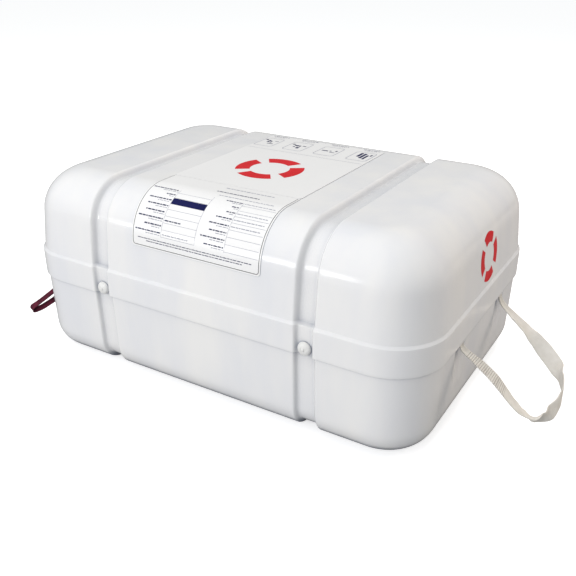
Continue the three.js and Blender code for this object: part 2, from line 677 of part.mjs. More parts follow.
function buildPainter() {
  const gland = box(
    new THREE.Vector3(-ANCHOR_OUT_X, PAINTER_Y - GLAND_HALF_WIDTH, ANCHOR_BOTTOM),
    new THREE.Vector3(-ANCHOR_IN_X, PAINTER_Y + GLAND_HALF_WIDTH, ANCHOR_BOTTOM + ANCHOR_HEIGHT),
  );
  const tubeStart = new THREE.Vector3(-ANCHOR_OUT_X + LAMINATE, PAINTER_Y, ANCHOR_STUD_Z);
  const tubeAxis = new THREE.Vector3(1, 0, 0);
  const tube = rod(GLAND_TUBE_RADIUS, GLAND_TUBE_LENGTH, tubeAxis, tubeStart, SMALL_ROUND_STEPS);
  addPiece('painter_gland', gland.add(tube), paint('#2c2c2e', 0.8));

  // The painter line's outer end is a sewn loop of dark red tape
  const rootX = -(ANCHOR_IN_X + ANCHOR_OUT_X) / 2;
  const rootZ = ANCHOR_BOTTOM - SEAT_GAP;
  const half = (PAINTER_WIDTH + 0.5) / 2;
  const loop = [
    [0, -7, -19], [4, -12, -39], [9, -17, -55], [17, -26, -68], [28, -38, -80],
    [39, -50, -91], [47, -58, -99], [48, -57, -105], [40, -48, -103], [29, -36, -95],
    [18, -24, -85], [8, -10, -71], [2, 0, -53], [0, 5, -33], [-2, 6, -17],
  ].map(([out, y, rise]) => new THREE.Vector3(-LENGTH / 2 - out, PAINTER_Y + y, SKIRT_BOTTOM + rise));
  const route = [
    new THREE.Vector3(rootX, PAINTER_Y - half, rootZ),
    ...loop,
    new THREE.Vector3(rootX, PAINTER_Y + half, rootZ),
  ];
  const across = route.map((point, index) => {
    const turn = index / (route.length - 1);
    return new THREE.Vector3(0.55 - turn * 1.1, 0.9 - turn * 1.8, Math.sin(turn * Math.PI));
  });
  across[0].set(0, 1, 0);
  across[route.length - 1].set(0, -1, 0);
  const widths = route.map(() => PAINTER_WIDTH);
  addPiece('painter_loop', webbing(route, across, widths, PAINTER_THICKNESS), paint('#4e1a2a', 0.85));

  // The packed painter line: a flat hank on the floor, and the lead that joins it to the gland
  const outline = (lift, grow) => roundedRing(
    HANK_WIDTH / 2 + grow,
    HANK_LENGTH / 2 + grow,
    HANK_WIDTH / 2 + grow - CUT_MARGIN,
    (x, y) => new THREE.Vector3(x + HANK_X, y + HANK_Y, FLOOR_Z + lift),
    SOFT_CORNER_STEPS,
  );
  const ease = HANK_HEIGHT * 0.22;
  const hank = loft([
    outline(0, -ease), outline(ease * 0.3, -ease * 0.3), outline(ease, 0),
    outline(HANK_HEIGHT - ease, 0), outline(HANK_HEIGHT - ease * 0.3, -ease * 0.3), outline(HANK_HEIGHT, -ease),
  ]);
  addPiece('painter_hank', toSolid(hank), paint('#c9622d', 0.85));

  const leadStart = tubeStart.x + GLAND_TUBE_LENGTH + SEAT_GAP;
  const leadRoute = new THREE.CatmullRomCurve3([
    new THREE.Vector3(leadStart, PAINTER_Y, ANCHOR_STUD_Z),
    new THREE.Vector3(leadStart + LEAD_STRAIGHT, PAINTER_Y, ANCHOR_STUD_Z),
    new THREE.Vector3((leadStart + HANK_X) / 2, (PAINTER_Y + HANK_Y) / 2, ANCHOR_STUD_Z - LEAD_DROP),
    new THREE.Vector3(HANK_X, HANK_Y, FLOOR_Z + HANK_HEIGHT + LEAD_ARCH),
    new THREE.Vector3(HANK_X, HANK_Y, FLOOR_Z + HANK_HEIGHT + SEAT_GAP),
  ]);
  addPiece('painter_lead', tubeAlong(leadRoute, LEAD_RADIUS, 14), paint('#c9622d', 0.85));
}

function tubeAlong(curve, radius, steps) {
  const section = new THREE.Shape();
  section.absarc(0, 0, radius, 0, 2 * Math.PI);
  const geometry = new THREE.ExtrudeGeometry(section, { steps, extrudePath: curve, curveSegments: 4 });
  return toSolid(geometry);
}

// Soft bag or pack with rounded plan corners and rounded top and bottom edges
function pillow(low, high, corner, edge) {
  const rings = [];
  const levels = [];
  for (let k = 0; k <= SOFT_CORNER_STEPS; k += 1) {
    const angle = k / SOFT_CORNER_STEPS * Math.PI / 2;
    levels.push([edge * (1 - Math.sin(angle)), edge * (1 - Math.cos(angle))]);
  }
  const centre = new THREE.Vector3().addVectors(low, high).multiplyScalar(0.5);
  const half = new THREE.Vector3().subVectors(high, low).multiplyScalar(0.5);
  const ringAt = (inset, z) => roundedRing(
    half.x - inset,
    half.y - inset,
    corner - inset * 0.8,
    (x, y) => new THREE.Vector3(x + centre.x, y + centre.y, z),
    SOFT_CORNER_STEPS,
  );
  levels.forEach(([inset, lift]) => rings.push(ringAt(inset, low.z + lift)));
  levels.reverse().forEach(([inset, lift]) => rings.push(ringAt(inset, high.z - lift)));
  return toSolid(loft(rings));
}

function buildRaftPack() {
  const halfLength = LENGTH / 2 - PACK_END_CLEARANCE;
  const low = new THREE.Vector3(-halfLength, PACK_FRONT_Y, RIDGE_Z);
  const high = new THREE.Vector3(halfLength, WIDTH / 2 - PACK_BACK_CLEARANCE, CEILING_Z - PACK_HEAD_ROOM);
  addPiece('raft_pack', pillow(low, high, PACK_CORNER, PACK_EDGE), paint('#e0701f', 0.8));

  // Two webbing straps round the folded raft
  const halfY = (high.y - low.y) / 2;
  const halfZ = (high.z - low.z) / 2;
  const ring = (grow, x) => roundedRing(
    halfY + grow,
    halfZ + grow,
    PACK_EDGE + grow,
    (y, z) => new THREE.Vector3(x, y + (low.y + high.y) / 2, z + (low.z + high.z) / 2),
    SOFT_CORNER_STEPS,
  );
  for (const [place, x] of [['left', -PACK_STRAP_X], ['right', PACK_STRAP_X]]) {
    const ends = [x - PACK_STRAP_WIDTH / 2, x + PACK_STRAP_WIDTH / 2];
    const outer = toSolid(loft(ends.map((end) => ring(SEAT_GAP + PACK_STRAP_THICKNESS, end))));
    const hole = [ends[0] - CUT_MARGIN, ends[1] + CUT_MARGIN];
    const inner = toSolid(loft(hole.map((end) => ring(SEAT_GAP, end))));
    addPiece(`pack_strap_${place}`, outer.subtract(inner), paint('#2f3136', 0.85));
  }
}

function buildCylinder() {
  const along = new THREE.Vector3(1, 0, 0);
  const start = new THREE.Vector3(CYLINDER_START_X, CYLINDER_Y, CYLINDER_Z);
  const profile = [];
  for (let k = 0; k <= 5; k += 1) {
    const angle = k / 5 * Math.PI / 2;
    profile.push([CYLINDER_RADIUS * Math.sin(angle), CYLINDER_DOME * (1 - Math.cos(angle))]);
  }
  const shoulder = CYLINDER_LENGTH - CYLINDER_NECK_LENGTH;
  for (let k = 5; k >= 1; k -= 1) {
    const angle = k / 5 * Math.PI / 2;
    const radius = Math.max(CYLINDER_RADIUS * Math.sin(angle), CYLINDER_NECK_RADIUS);
    profile.push([radius, shoulder - CYLINDER_DOME * (1 - Math.cos(angle))]);
  }
  profile.push([CYLINDER_NECK_RADIUS, shoulder]);
  profile.push([CYLINDER_NECK_RADIUS, CYLINDER_LENGTH]);
  profile.push([0, CYLINDER_LENGTH]);
  addPiece('gas_cylinder', turned(profile, along, start), paint('#9a9da1', 0.35, 0.8));

  const valveStart = new THREE.Vector3(CYLINDER_END_X + SEAT_GAP, CYLINDER_Y, CYLINDER_Z);
  const valveBody = turned([
    [0, 0], [VALVE_RADIUS * 0.8, 0], [VALVE_RADIUS * 0.8, 8], [VALVE_RADIUS, 10],
    [VALVE_RADIUS, VALVE_LENGTH - 12], [VALVE_RADIUS * 0.6, VALVE_LENGTH - 8],
    [VALVE_RADIUS * 0.6, VALVE_LENGTH], [0, VALVE_LENGTH],
  ], along, valveStart);
  const portX = CYLINDER_END_X + VALVE_LENGTH / 2;
  const portStart = new THREE.Vector3(portX, CYLINDER_Y, CYLINDER_Z);
  const port = rod(VALVE_PORT_RADIUS, VALVE_PORT_REACH, new THREE.Vector3(0, 1, 0), portStart);
  addPiece('cylinder_valve', valveBody.add(port), paint('#b08d3e', 0.35, 0.9));

  // High-pressure hose from the valve's port into the front of the folded raft
  const hoseStart = new THREE.Vector3(portX, CYLINDER_Y + VALVE_PORT_REACH + SEAT_GAP, CYLINDER_Z);
  const hoseEnd = new THREE.Vector3(portX + HOSE_SIDE_STEP, PACK_FRONT_Y - SEAT_GAP, CYLINDER_Z + HOSE_RISE);
  const straight = new THREE.Vector3(0, HOSE_STRAIGHT, 0);
  const hoseRoute = new THREE.CatmullRomCurve3([
    hoseStart,
    hoseStart.clone().add(straight),
    hoseStart.clone().lerp(hoseEnd, 0.5),
    hoseEnd.clone().sub(straight),
    hoseEnd,
  ]);
  addPiece('inflation_hose', tubeAlong(hoseRoute, HOSE_RADIUS, 12), paint('#202124', 0.7));

  const sleeve = turned([
    [CYLINDER_RADIUS + SEAT_GAP, 0],
    [CYLINDER_RADIUS + SEAT_GAP + SLEEVE_THICKNESS, 0],
    [CYLINDER_RADIUS + SEAT_GAP + SLEEVE_THICKNESS, SLEEVE_LENGTH],
    [CYLINDER_RADIUS + SEAT_GAP, SLEEVE_LENGTH],
    [CYLINDER_RADIUS + SEAT_GAP, 0],
  ], along, new THREE.Vector3(CYLINDER_OFF_MIDDLE - SLEEVE_LENGTH / 2, CYLINDER_Y, CYLINDER_Z));
  addPiece('cylinder_sleeve', sleeve, paint('#3b3f46', 0.85));

  const saddle = rod(CYLINDER_RADIUS + SEAT_GAP, CYLINDER_LENGTH, along, start);
  for (const [place, side] of [['left', -1], ['right', 1]]) {
    const x = CYLINDER_OFF_MIDDLE + side * CRADLE_FROM_MIDDLE;
    const block = box(
      new THREE.Vector3(x - CRADLE_LENGTH / 2, CYLINDER_Y - CRADLE_HALF_WIDTH, FLOOR_Z),
      new THREE.Vector3(x + CRADLE_LENGTH / 2, CYLINDER_Y + CRADLE_HALF_WIDTH, FLOOR_Z + CRADLE_HEIGHT),
    );
    addPiece(`cylinder_cradle_${place}`, block.subtract(saddle), paint('#55585c', 0.9));
  }
}

function buildEquipmentBag() {
  const bottom = CYLINDER_Z + CYLINDER_RADIUS + 2 * SEAT_GAP + SLEEVE_THICKNESS;
  const low = new THREE.Vector3(-BAG_HALF_LENGTH, FRONT_Y + BAG_FRONT_CLEARANCE, bottom);
  const high = new THREE.Vector3(BAG_HALF_LENGTH, PACK_FRONT_Y - BAG_TO_PACK, CEILING_Z - BAG_HEAD_ROOM);
  addPiece('equipment_bag', pillow(low, high, BAG_CORNER, BAG_EDGE), paint('#d8a21f', 0.8));
}

buildUpperShell();
buildLowerShell();
buildSeal();
buildBolts();
buildLabels();
buildAnchors();
buildHandle();
buildPainter();
buildRaftPack();
buildCylinder();
buildEquipmentBag();

export default canister;
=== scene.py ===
"""Liferaft canister on a white studio floor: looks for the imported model.

Lengths in this script are millimetres unless a name says otherwise; MM turns them into metres.
"""
import json
import math

import bpy
import numpy as np
from mathutils import Matrix, Vector


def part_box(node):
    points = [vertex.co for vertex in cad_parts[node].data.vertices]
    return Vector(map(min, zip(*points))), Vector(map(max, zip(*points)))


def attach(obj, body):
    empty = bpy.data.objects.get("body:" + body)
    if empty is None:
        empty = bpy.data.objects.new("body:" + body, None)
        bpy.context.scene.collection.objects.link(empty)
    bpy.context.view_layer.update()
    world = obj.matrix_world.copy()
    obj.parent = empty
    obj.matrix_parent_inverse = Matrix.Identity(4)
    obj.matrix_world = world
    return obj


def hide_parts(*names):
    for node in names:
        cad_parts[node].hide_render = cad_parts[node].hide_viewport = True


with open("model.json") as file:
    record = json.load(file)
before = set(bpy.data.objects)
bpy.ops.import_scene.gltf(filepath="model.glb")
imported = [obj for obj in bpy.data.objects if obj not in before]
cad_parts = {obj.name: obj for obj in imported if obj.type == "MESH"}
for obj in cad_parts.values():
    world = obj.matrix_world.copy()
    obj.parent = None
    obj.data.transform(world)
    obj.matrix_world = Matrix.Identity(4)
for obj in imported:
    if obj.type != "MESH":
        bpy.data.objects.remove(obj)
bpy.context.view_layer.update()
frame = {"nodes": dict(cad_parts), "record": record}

MM = 0.001
ROOT = "root"


def node_box(name):
    """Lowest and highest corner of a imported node, in millimetres."""
    low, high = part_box(name)
    return np.array(low) / MM, np.array(high) / MM


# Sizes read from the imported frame
upper_low, upper_high = node_box("upper_shell")
_, lower_high = node_box("lower_shell")
LENGTH, WIDTH = (upper_high - upper_low)[:2]
HEIGHT = upper_high[2]
SKIRT_BOTTOM = upper_low[2]
RIM_TOP = lower_high[2]
RIM_INSET = upper_high[0] - lower_high[0]

# Sizes of the shells that the frame's boxes don't give
CORNER_RADIUS = 83
LAMINATE = 3
SKIRT_HEIGHT = 43
STEP_HEIGHT = 4
STEP_INSET = 3
UPPER_DRAFT = math.radians(5.4)
UPPER_EDGE_RADIUS = 73
UPPER_CORNER_SHRINK = 0.7
LOWER_DRAFT = math.radians(1.5)
LOWER_EDGE_RADIUS = 47
LOWER_CORNER_SHRINK = 1.0
GROOVE_X = 185
GROOVE_FLOOR = 23
GROOVE_SIDE_ANGLE = math.radians(60)
UPPER_GROOVE_DEPTH = 9.5
LOWER_GROOVE_DEPTH = 7
BAND_GROOVE_DEPTH = 6.4
BAND_JOG_TOP = SKIRT_BOTTOM - 4
BAND_JOG_BOTTOM = SKIRT_BOTTOM - 9
GROOVE_SOFTNESS = 1.9
GROOVE_SPACING = 1.0
GROOVE_REACH = 23
LIP_RADIUS = 0.9

CHANNEL_DEPTH = 5
CHANNEL_FLOOR_HALF = 11
CHANNEL_SIDE = 10
CHANNEL_TOP = SKIRT_BOTTOM + 26
CHANNEL_FADE = 70
CHANNEL_SOFTNESS = 2.5
CHANNEL_WIDENING = math.tan(math.pi / 8)
HANDLE_Y = 92
PAINTER_FROM_FRONT = 94
PAINTER_Y = PAINTER_FROM_FRONT - WIDTH / 2

SKIRT_TOP = SKIRT_BOTTOM + SKIRT_HEIGHT
WALL_START = SKIRT_TOP + STEP_HEIGHT

# How finely the shells are drawn
STRAIGHT_X = 240
WIDE_SPACING = 24
CORNER_SAMPLES = 14
PLAIN_END_SAMPLES = 11
END_SPACING = 12
CHANNEL_SPACING = 2.2
CHANNEL_REACH = 30
EDGE_ROWS = 20
STEP_ROUND = 1.6


# Helpers for meshes and materials


def new_object(name, points, faces, material, smooth=True, smooth_angle=None):
    """A piece fixed to the body, from points in millimetres."""
    mesh = bpy.data.meshes.new(name)
    mesh.from_pydata([tuple(p) for p in np.asarray(points) * MM], [], faces)
    mesh.validate()
    piece = bpy.data.objects.new(name, mesh)
    bpy.context.scene.collection.objects.link(piece)
    mesh.materials.append(material)
    if smooth:
        mesh.polygons.foreach_set("use_smooth", [True] * len(mesh.polygons))
    if smooth_angle is not None:
        mesh.set_sharp_from_angle(angle=smooth_angle)
    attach(piece, ROOT)
    return piece


def grid_faces(rows, columns, closed=True, offset=0, flip=False):
    """Quads between neighbouring rows of a grid whose rows are rings, or open lines."""
    faces = []
    for i in range(rows - 1):
        for j in range(columns if closed else columns - 1):
            a = offset + i * columns + j
            b = offset + i * columns + (j + 1) % columns
            quad = (a, b, b + columns, a + columns)
            faces.append(quad[::-1] if flip else quad)
    return faces


def material(name, colour, roughness, metallic=0.0, **extra):
    made = bpy.data.materials.new(name)
    made.use_nodes = True
    shader = made.node_tree.nodes["Principled BSDF"]
    shader.inputs["Base Color"].default_value = (*colour, 1)
    shader.inputs["Roughness"].default_value = roughness
    shader.inputs["Metallic"].default_value = metallic
    for socket, value in extra.items():
        shader.inputs[socket.replace("_", " ")].default_value = value
    return made


def add_node(made, kind, place):
    node = made.node_tree.nodes.new(kind)
    node.location = place
    return node


def link(made, source, target):
    made.node_tree.links.new(source, target)


def object_coordinates(made, scale=(1, 1, 1)):
    where = add_node(made, "ShaderNodeTexCoord", (-1100, 0))
    mapping = add_node(made, "ShaderNodeMapping", (-900, 0))
    mapping.inputs["Scale"].default_value = scale
    link(made, where.outputs["Object"], mapping.inputs["Vector"])
    return mapping.outputs["Vector"]


def add_noise(made, vector, scale, detail, place):
    noise = add_node(made, "ShaderNodeTexNoise", place)
    noise.inputs["Scale"].default_value = scale
    noise.inputs["Detail"].default_value = detail
    link(made, vector, noise.inputs["Vector"])
    return noise.outputs["Fac"]


def add_bump(made, height, strength, distance, under=None):
    """Relief on the surface, laid over another one if it is given."""
    shader = made.node_tree.nodes["Principled BSDF"]
    bump = add_node(made, "ShaderNodeBump", (-200, -300))
    bump.inputs["Strength"].default_value = strength
    bump.inputs["Distance"].default_value = distance
    link(made, height, bump.inputs["Height"])
    if under is not None:
        link(made, under, bump.inputs["Normal"])
    link(made, bump.outputs["Normal"], shader.inputs["Normal"])
    return bump.outputs["Normal"]


def mottle(made, low, high, scale, detail=3.0, stretch=(1, 1, 1)):
    """Base colour that drifts between two close shades."""
    shader = made.node_tree.nodes["Principled BSDF"]
    noise = add_noise(made, object_coordinates(made, stretch), scale, detail, (-700, 200))
    shades = add_node(made, "ShaderNodeValToRGB", (-450, 200))
    first, last = shades.color_ramp.elements
    first.position = 0.3
    first.color = (*low, 1)
    last.position = 0.7
    last.color = (*high, 1)
    link(made, noise, shades.inputs["Fac"])
    link(made, shades.outputs["Color"], shader.inputs["Base Color"])
    return noise


def painted_crease_shade(made, distance, colour):
    """Painted shade: blends the base colour towards the given grey where ambient occlusion finds the surface
    folding in on itself: grooves, joint, under the skirt.
    """
    shader = made.node_tree.nodes["Principled BSDF"]
    base = shader.inputs["Base Color"].links[0].from_socket
    openness = add_node(made, "ShaderNodeAmbientOcclusion", (-450, 500))
    openness.samples = 12
    openness.inputs["Distance"].default_value = distance
    share = add_node(made, "ShaderNodeMapRange", (-300, 500))
    share.inputs["From Min"].default_value = CREASE_DEEP
    share.inputs["From Max"].default_value = CREASE_OPEN
    link(made, openness.outputs["AO"], share.inputs["Value"])
    painted_shade_mix = add_node(made, "ShaderNodeMix", (-150, 400))
    painted_shade_mix.data_type = "RGBA"
    painted_shade_mix.inputs["A"].default_value = (*colour, 1)
    link(made, share.outputs["Result"], painted_shade_mix.inputs["Factor"])
    link(made, base, painted_shade_mix.inputs["B"])
    link(made, painted_shade_mix.outputs["Result"], shader.inputs["Base Color"])


# Materials: each drifts between two close shades over a fine relief; the gelcoat also has painted shade in
# its creases

# Painted shade for the gelcoat: the occlusion range that maps to a bluish grey in grooves, the joint and
# under the skirt
CREASE_DEEP = 0.5
CREASE_OPEN = 0.93
CREASE_REACH = 0.026
PAINTED_CREASE_COLOUR = (0.3, 0.325, 0.385)
UPRIGHT_STREAKS = (1, 1, 0.25)


def gelcoat():
    """Glossy white that is a little wavy, with upright streaks, a fine orange-peel and painted bluish shade
    in its grooves and creases.
    """
    made = material("white_gelcoat", (0.86, 0.86, 0.855), 0.16, Specular_IOR_Level=0.5)
    mottle(made, (0.835, 0.845, 0.87), (0.92, 0.915, 0.9), 14.0, 4.0, UPRIGHT_STREAKS)
    # painted shade: bluish grey laid into the colour in grooves, the joint and under the skirt
    painted_crease_shade(made, CREASE_REACH, PAINTED_CREASE_COLOUR)
    vector = object_coordinates(made)
    wavy = add_bump(made, add_noise(made, vector, 9.0, 1.0, (-700, -300)), 0.25, 0.002)
    add_bump(made, add_noise(made, vector, 260.0, 2.0, (-700, -600)), 0.06, 0.0006, wavy)
    return made


def webbing_material(name, dark, light, weave_scale):
    made = material(name, light, 0.9, Specular_IOR_Level=0.2, Sheen_Weight=0.06, Sheen_Roughness=0.5)
    mottle(made, dark, light, 60.0, 5.0)
    weave = add_node(made, "ShaderNodeTexVoronoi", (-700, -300))
    weave.inputs["Scale"].default_value = weave_scale
    link(made, object_coordinates(made), weave.inputs["Vector"])
    add_bump(made, weave.outputs["Distance"], 0.35, 0.0006)
    return made


def finish(name, low, high, roughness, metallic=0.0, scale=40.0, bump=0.3, depth=0.0004, gloss=0.5):
    made = material(name, high, roughness, metallic, Specular_IOR_Level=gloss)
    noise = mottle(made, low, high, scale)
    add_bump(made, noise, bump, depth)
    return made


def ink(name, low, high, gloss):
    return finish(name, low, high, 0.4, bump=0.05, gloss=gloss)


GELCOAT = gelcoat()
NYLON = finish("white_nylon", (0.82, 0.82, 0.8), (0.88, 0.88, 0.86), 0.35)
FILM = finish("white_film", (0.93, 0.93, 0.925), (0.95, 0.95, 0.945), 0.25, scale=12.0, bump=0.1, gloss=0.4)
INK_BLACK = ink("black_ink", (0.012, 0.012, 0.016), (0.02, 0.02, 0.026), 0.1)
INK_NAVY = ink("navy_ink", (0.009, 0.011, 0.07), (0.014, 0.016, 0.09), 0.1)
INK_GREY = ink("grey_ink", (0.28, 0.29, 0.36), (0.33, 0.34, 0.41), 0.2)
INK_RED = ink("red_ink", (0.66, 0.006, 0.012), (0.74, 0.01, 0.018), 0.12)
HANDLE_WEBBING = webbing_material("cream_webbing", (0.76, 0.73, 0.665), (0.87, 0.845, 0.79), 900.0)
# A darker copy of the cream webbing: painted shade for the valleys between the handle's ribs
RIB_VALLEY_SHADE = webbing_material("cream_webbing_painted_shade", (0.5, 0.47, 0.43), (0.58, 0.55, 0.5), 900.0)
PAINTER_WEBBING = webbing_material("dark_red_webbing", (0.05, 0.008, 0.018), (0.15, 0.02, 0.042), 1100.0)

FINISHES = {
    "shell_gelcoat": GELCOAT,
    "nylon": NYLON,
    "label_film": FILM,
    "handle_webbing": HANDLE_WEBBING,
    "painter_webbing": PAINTER_WEBBING,
    "steel": finish("stainless_steel", (0.4, 0.41, 0.42), (0.5, 0.51, 0.52), 0.32, 1.0, 90.0, 0.1),
    "seal_rubber": finish("black_rubber", (0.012, 0.012, 0.013), (0.02, 0.02, 0.022), 0.75, scale=200.0),
    "painter_rope": webbing_material("orange_rope", (0.4, 0.07, 0.015), (0.5, 0.1, 0.02), 700.0),
    "raft_fabric": webbing_material("orange_raft_fabric", (0.55, 0.1, 0.01), (0.65, 0.13, 0.015), 500.0),
    "strap_webbing": webbing_material("dark_webbing", (0.012, 0.013, 0.015), (0.02, 0.022, 0.025), 900.0),
    "bag_fabric": webbing_material("yellow_bag_fabric", (0.5, 0.24, 0.008), (0.58, 0.28, 0.01), 500.0),
    "cylinder_paint": finish("grey_paint", (0.26, 0.27, 0.29), (0.29, 0.3, 0.32), 0.35, 0.2, 120.0),
    "valve_brass": finish("brass", (0.5, 0.33, 0.1), (0.58, 0.39, 0.13), 0.3, 1.0, 90.0, 0.1),
    "hose_rubber": finish("hose_rubber", (0.01, 0.01, 0.011), (0.016, 0.016, 0.018), 0.6, scale=200.0),
    "cradle_foam": finish("foam", (0.05, 0.055, 0.06), (0.065, 0.07, 0.075), 0.9, scale=400.0, bump=0.6),
}


# Camera and light

CAMERA_AZIMUTH = math.radians(31.2)
CAMERA_ELEVATION = math.radians(25.7)
CAMERA_DISTANCE = 1276.6
CAMERA_RIGHT = 12.2
CAMERA_DOWN = 52.1
CAMERA_LENS = 46.25
CAMERA_AIM = Vector((0, 0, 155))
LAMP_AIM = (0, 0, 0.15)
ROOM_COLOUR = (0.955, 0.985, 1.0, 1)
ROOM_STRENGTH = 0.39
FLOOR_HALF = 30000
FLOOR_SEEN = 0.9
FLOOR_GLOW = 0.62
FLOOR_BOUNCE = 0.4


def add_camera():
    """The photograph's view: 31 degrees round to the right and 26 degrees up."""
    back = Vector((
        math.sin(CAMERA_AZIMUTH) * math.cos(CAMERA_ELEVATION),
        -math.cos(CAMERA_AZIMUTH) * math.cos(CAMERA_ELEVATION),
        math.sin(CAMERA_ELEVATION),
    ))
    right = Vector((math.cos(CAMERA_AZIMUTH), math.sin(CAMERA_AZIMUTH), 0))
    up = back.cross(right)
    place = CAMERA_AIM + back * CAMERA_DISTANCE + right * CAMERA_RIGHT - up * CAMERA_DOWN
    data = bpy.data.cameras.new("camera")
    data.sensor_width = 36
    data.lens = CAMERA_LENS
    camera = bpy.data.objects.new("camera", data)
    turn = Matrix((right, up, back)).transposed().to_4x4()
    camera.matrix_world = Matrix.Translation(place * MM) @ turn
    bpy.context.scene.collection.objects.link(camera)
    bpy.context.scene.camera = camera


def add_area(name, place, target, size, power, colour=(1, 1, 1), mirrored=False):
    """A rectangular lamp, placed and sized in metres, that the gloss shows only if it is mirrored."""
    data = bpy.data.lights.new(name, "AREA")
    data.shape = "RECTANGLE"
    data.size, data.size_y = size
    data.energy = power
    data.color = colour
    lamp = bpy.data.objects.new(name, data)
    lamp.visible_glossy = mirrored
    turn = (Vector(target) - Vector(place)).to_track_quat("-Z", "Y")
    lamp.matrix_world = Matrix.Translation(place) @ turn.to_matrix().to_4x4()
    bpy.context.scene.collection.objects.link(lamp)
    return lamp


def add_lamps():
    """Softboxes in front, above and behind, and a low strip that only the rounded edge mirrors."""
    add_area("key_left", (-1.6, -2.3, 1.4), LAMP_AIM, (1.8, 1.4), 15.5, (1.0, 0.97, 0.92))
    add_area("key_front", (-0.3, -2.8, 1.0), LAMP_AIM, (1.8, 1.2), 35.5, (0.97, 0.97, 1.0))
    add_area("top_softbox", (0.0, 0.1, 2.6), LAMP_AIM, (2.0, 1.8), 24, (1.0, 0.98, 0.97))
    add_area("right_back", (2.1, 1.9, 0.9), LAMP_AIM, (1.6, 1.2), 32, (1.0, 0.87, 0.76))
    strip = add_area("edge_strip", (-0.78, -1.5, 0.42), (-0.78, 0, 0.3), (1.0, 0.17), 5.5, mirrored=True)
    strip.visible_diffuse = False


def add_world():
    """White to the camera, and an even pale room to the object."""
    world = bpy.data.worlds.new("studio")
    world.use_nodes = True
    bpy.context.scene.world = world
    nodes = world.node_tree.nodes
    links = world.node_tree.links
    room = nodes["Background"]
    room.inputs["Color"].default_value = ROOM_COLOUR
    room.inputs["Strength"].default_value = ROOM_STRENGTH
    white = nodes.new("ShaderNodeBackground")
    white.inputs["Strength"].default_value = 1.0
    rays = nodes.new("ShaderNodeLightPath")
    mix = nodes.new("ShaderNodeMixShader")
    links.new(rays.outputs["Is Camera Ray"], mix.inputs["Fac"])
    links.new(room.outputs["Background"], mix.inputs[1])
    links.new(white.outputs["Background"], mix.inputs[2])
    links.new(mix.outputs["Shader"], nodes["World Output"].inputs["Surface"])


def floor_material():
    """White with a soft shadow to the camera, and a mid grey for the light it bounces."""
    made = bpy.data.materials.new("floor_white")
    made.use_nodes = True
    tree = made.node_tree
    tree.nodes.clear()
    seen = tree.nodes.new("ShaderNodeBsdfDiffuse")
    seen.inputs["Color"].default_value = (FLOOR_SEEN, FLOOR_SEEN, FLOOR_SEEN, 1)
    glow = tree.nodes.new("ShaderNodeEmission")
    glow.inputs["Strength"].default_value = FLOOR_GLOW
    both = tree.nodes.new("ShaderNodeAddShader")
    bounce = tree.nodes.new("ShaderNodeBsdfDiffuse")
    bounce.inputs["Color"].default_value = (FLOOR_BOUNCE, FLOOR_BOUNCE, FLOOR_BOUNCE, 1)
    rays = tree.nodes.new("ShaderNodeLightPath")
    mix = tree.nodes.new("ShaderNodeMixShader")
    out = tree.nodes.new("ShaderNodeOutputMaterial")
    tree.links.new(seen.outputs[0], both.inputs[0])
    tree.links.new(glow.outputs[0], both.inputs[1])
    tree.links.new(rays.outputs["Is Camera Ray"], mix.inputs["Fac"])
    tree.links.new(bounce.outputs[0], mix.inputs[1])
    tree.links.new(both.outputs[0], mix.inputs[2])
    tree.links.new(mix.outputs[0], out.inputs["Surface"])
    return made


def add_floor():
    half = FLOOR_HALF * MM
    mesh = bpy.data.meshes.new("floor")
    corners = [(-half, -half, 0), (half, -half, 0), (half, half, 0), (-half, half, 0)]
    mesh.from_pydata(corners, [], [(0, 1, 2, 3)])
    mesh.materials.append(floor_material())
    floor = bpy.data.objects.new("floor", mesh)
    bpy.context.scene.collection.objects.link(floor)


add_camera()
add_world()
add_floor()
add_lamps()


# Webbing: the carry handle and the painter line's loop, fixed at both ends


FLAT_SAMPLES = 9
ROOT_BELOW_ANCHOR = 0.4


def smooth_path(points, samples):
    """Points evenly spaced along a centripetal curve through the given ones."""
    points = np.array(points, float)
    ends = np.vstack([2 * points[0] - points[1], points, 2 * points[-1] - points[-2]])
    knots = np.concatenate([[0], np.cumsum(np.sqrt(np.linalg.norm(np.diff(ends, axis=0), axis=1)))])
    fine = []
    for i in range(1, len(ends) - 2):
        t0, t1, t2, t3 = knots[i - 1:i + 3]
        t = np.linspace(t1, t2, 24, endpoint=i == len(ends) - 3)[:, None]
        p0, p1, p2, p3 = ends[i - 1:i + 3]
        a1 = (t1 - t) / (t1 - t0) * p0 + (t - t0) / (t1 - t0) * p1
        a2 = (t2 - t) / (t2 - t1) * p1 + (t - t1) / (t2 - t1) * p2
        a3 = (t3 - t) / (t3 - t2) * p2 + (t - t2) / (t3 - t2) * p3
        b1 = (t2 - t) / (t2 - t0) * a1 + (t - t0) / (t2 - t0) * a2
        b2 = (t3 - t) / (t3 - t1) * a2 + (t - t1) / (t3 - t1) * a3
        fine.append((t2 - t) / (t2 - t1) * b1 + (t - t1) / (t2 - t1) * b2)
    fine = np.vstack(fine)
    along = np.concatenate([[0], np.cumsum(np.linalg.norm(np.diff(fine, axis=0), axis=1))])
    at = np.linspace(0, along[-1], samples)
    return np.stack([np.interp(at, along, fine[:, k]) for k in range(3)], axis=1), at, along


def spread_values(values, count):
    """Values given at even shares of a route, eased between, for every ring."""
    values = np.array(values, float)
    spot = np.linspace(0, len(values) - 1, count)
    low = np.minimum(spot.astype(int), len(values) - 2)
    share = spot - low
    share = share * share * (3 - 2 * share)
    if values.ndim > 1:
        share = share[:, None]
    return values[low] * (1 - share) + values[low + 1] * share


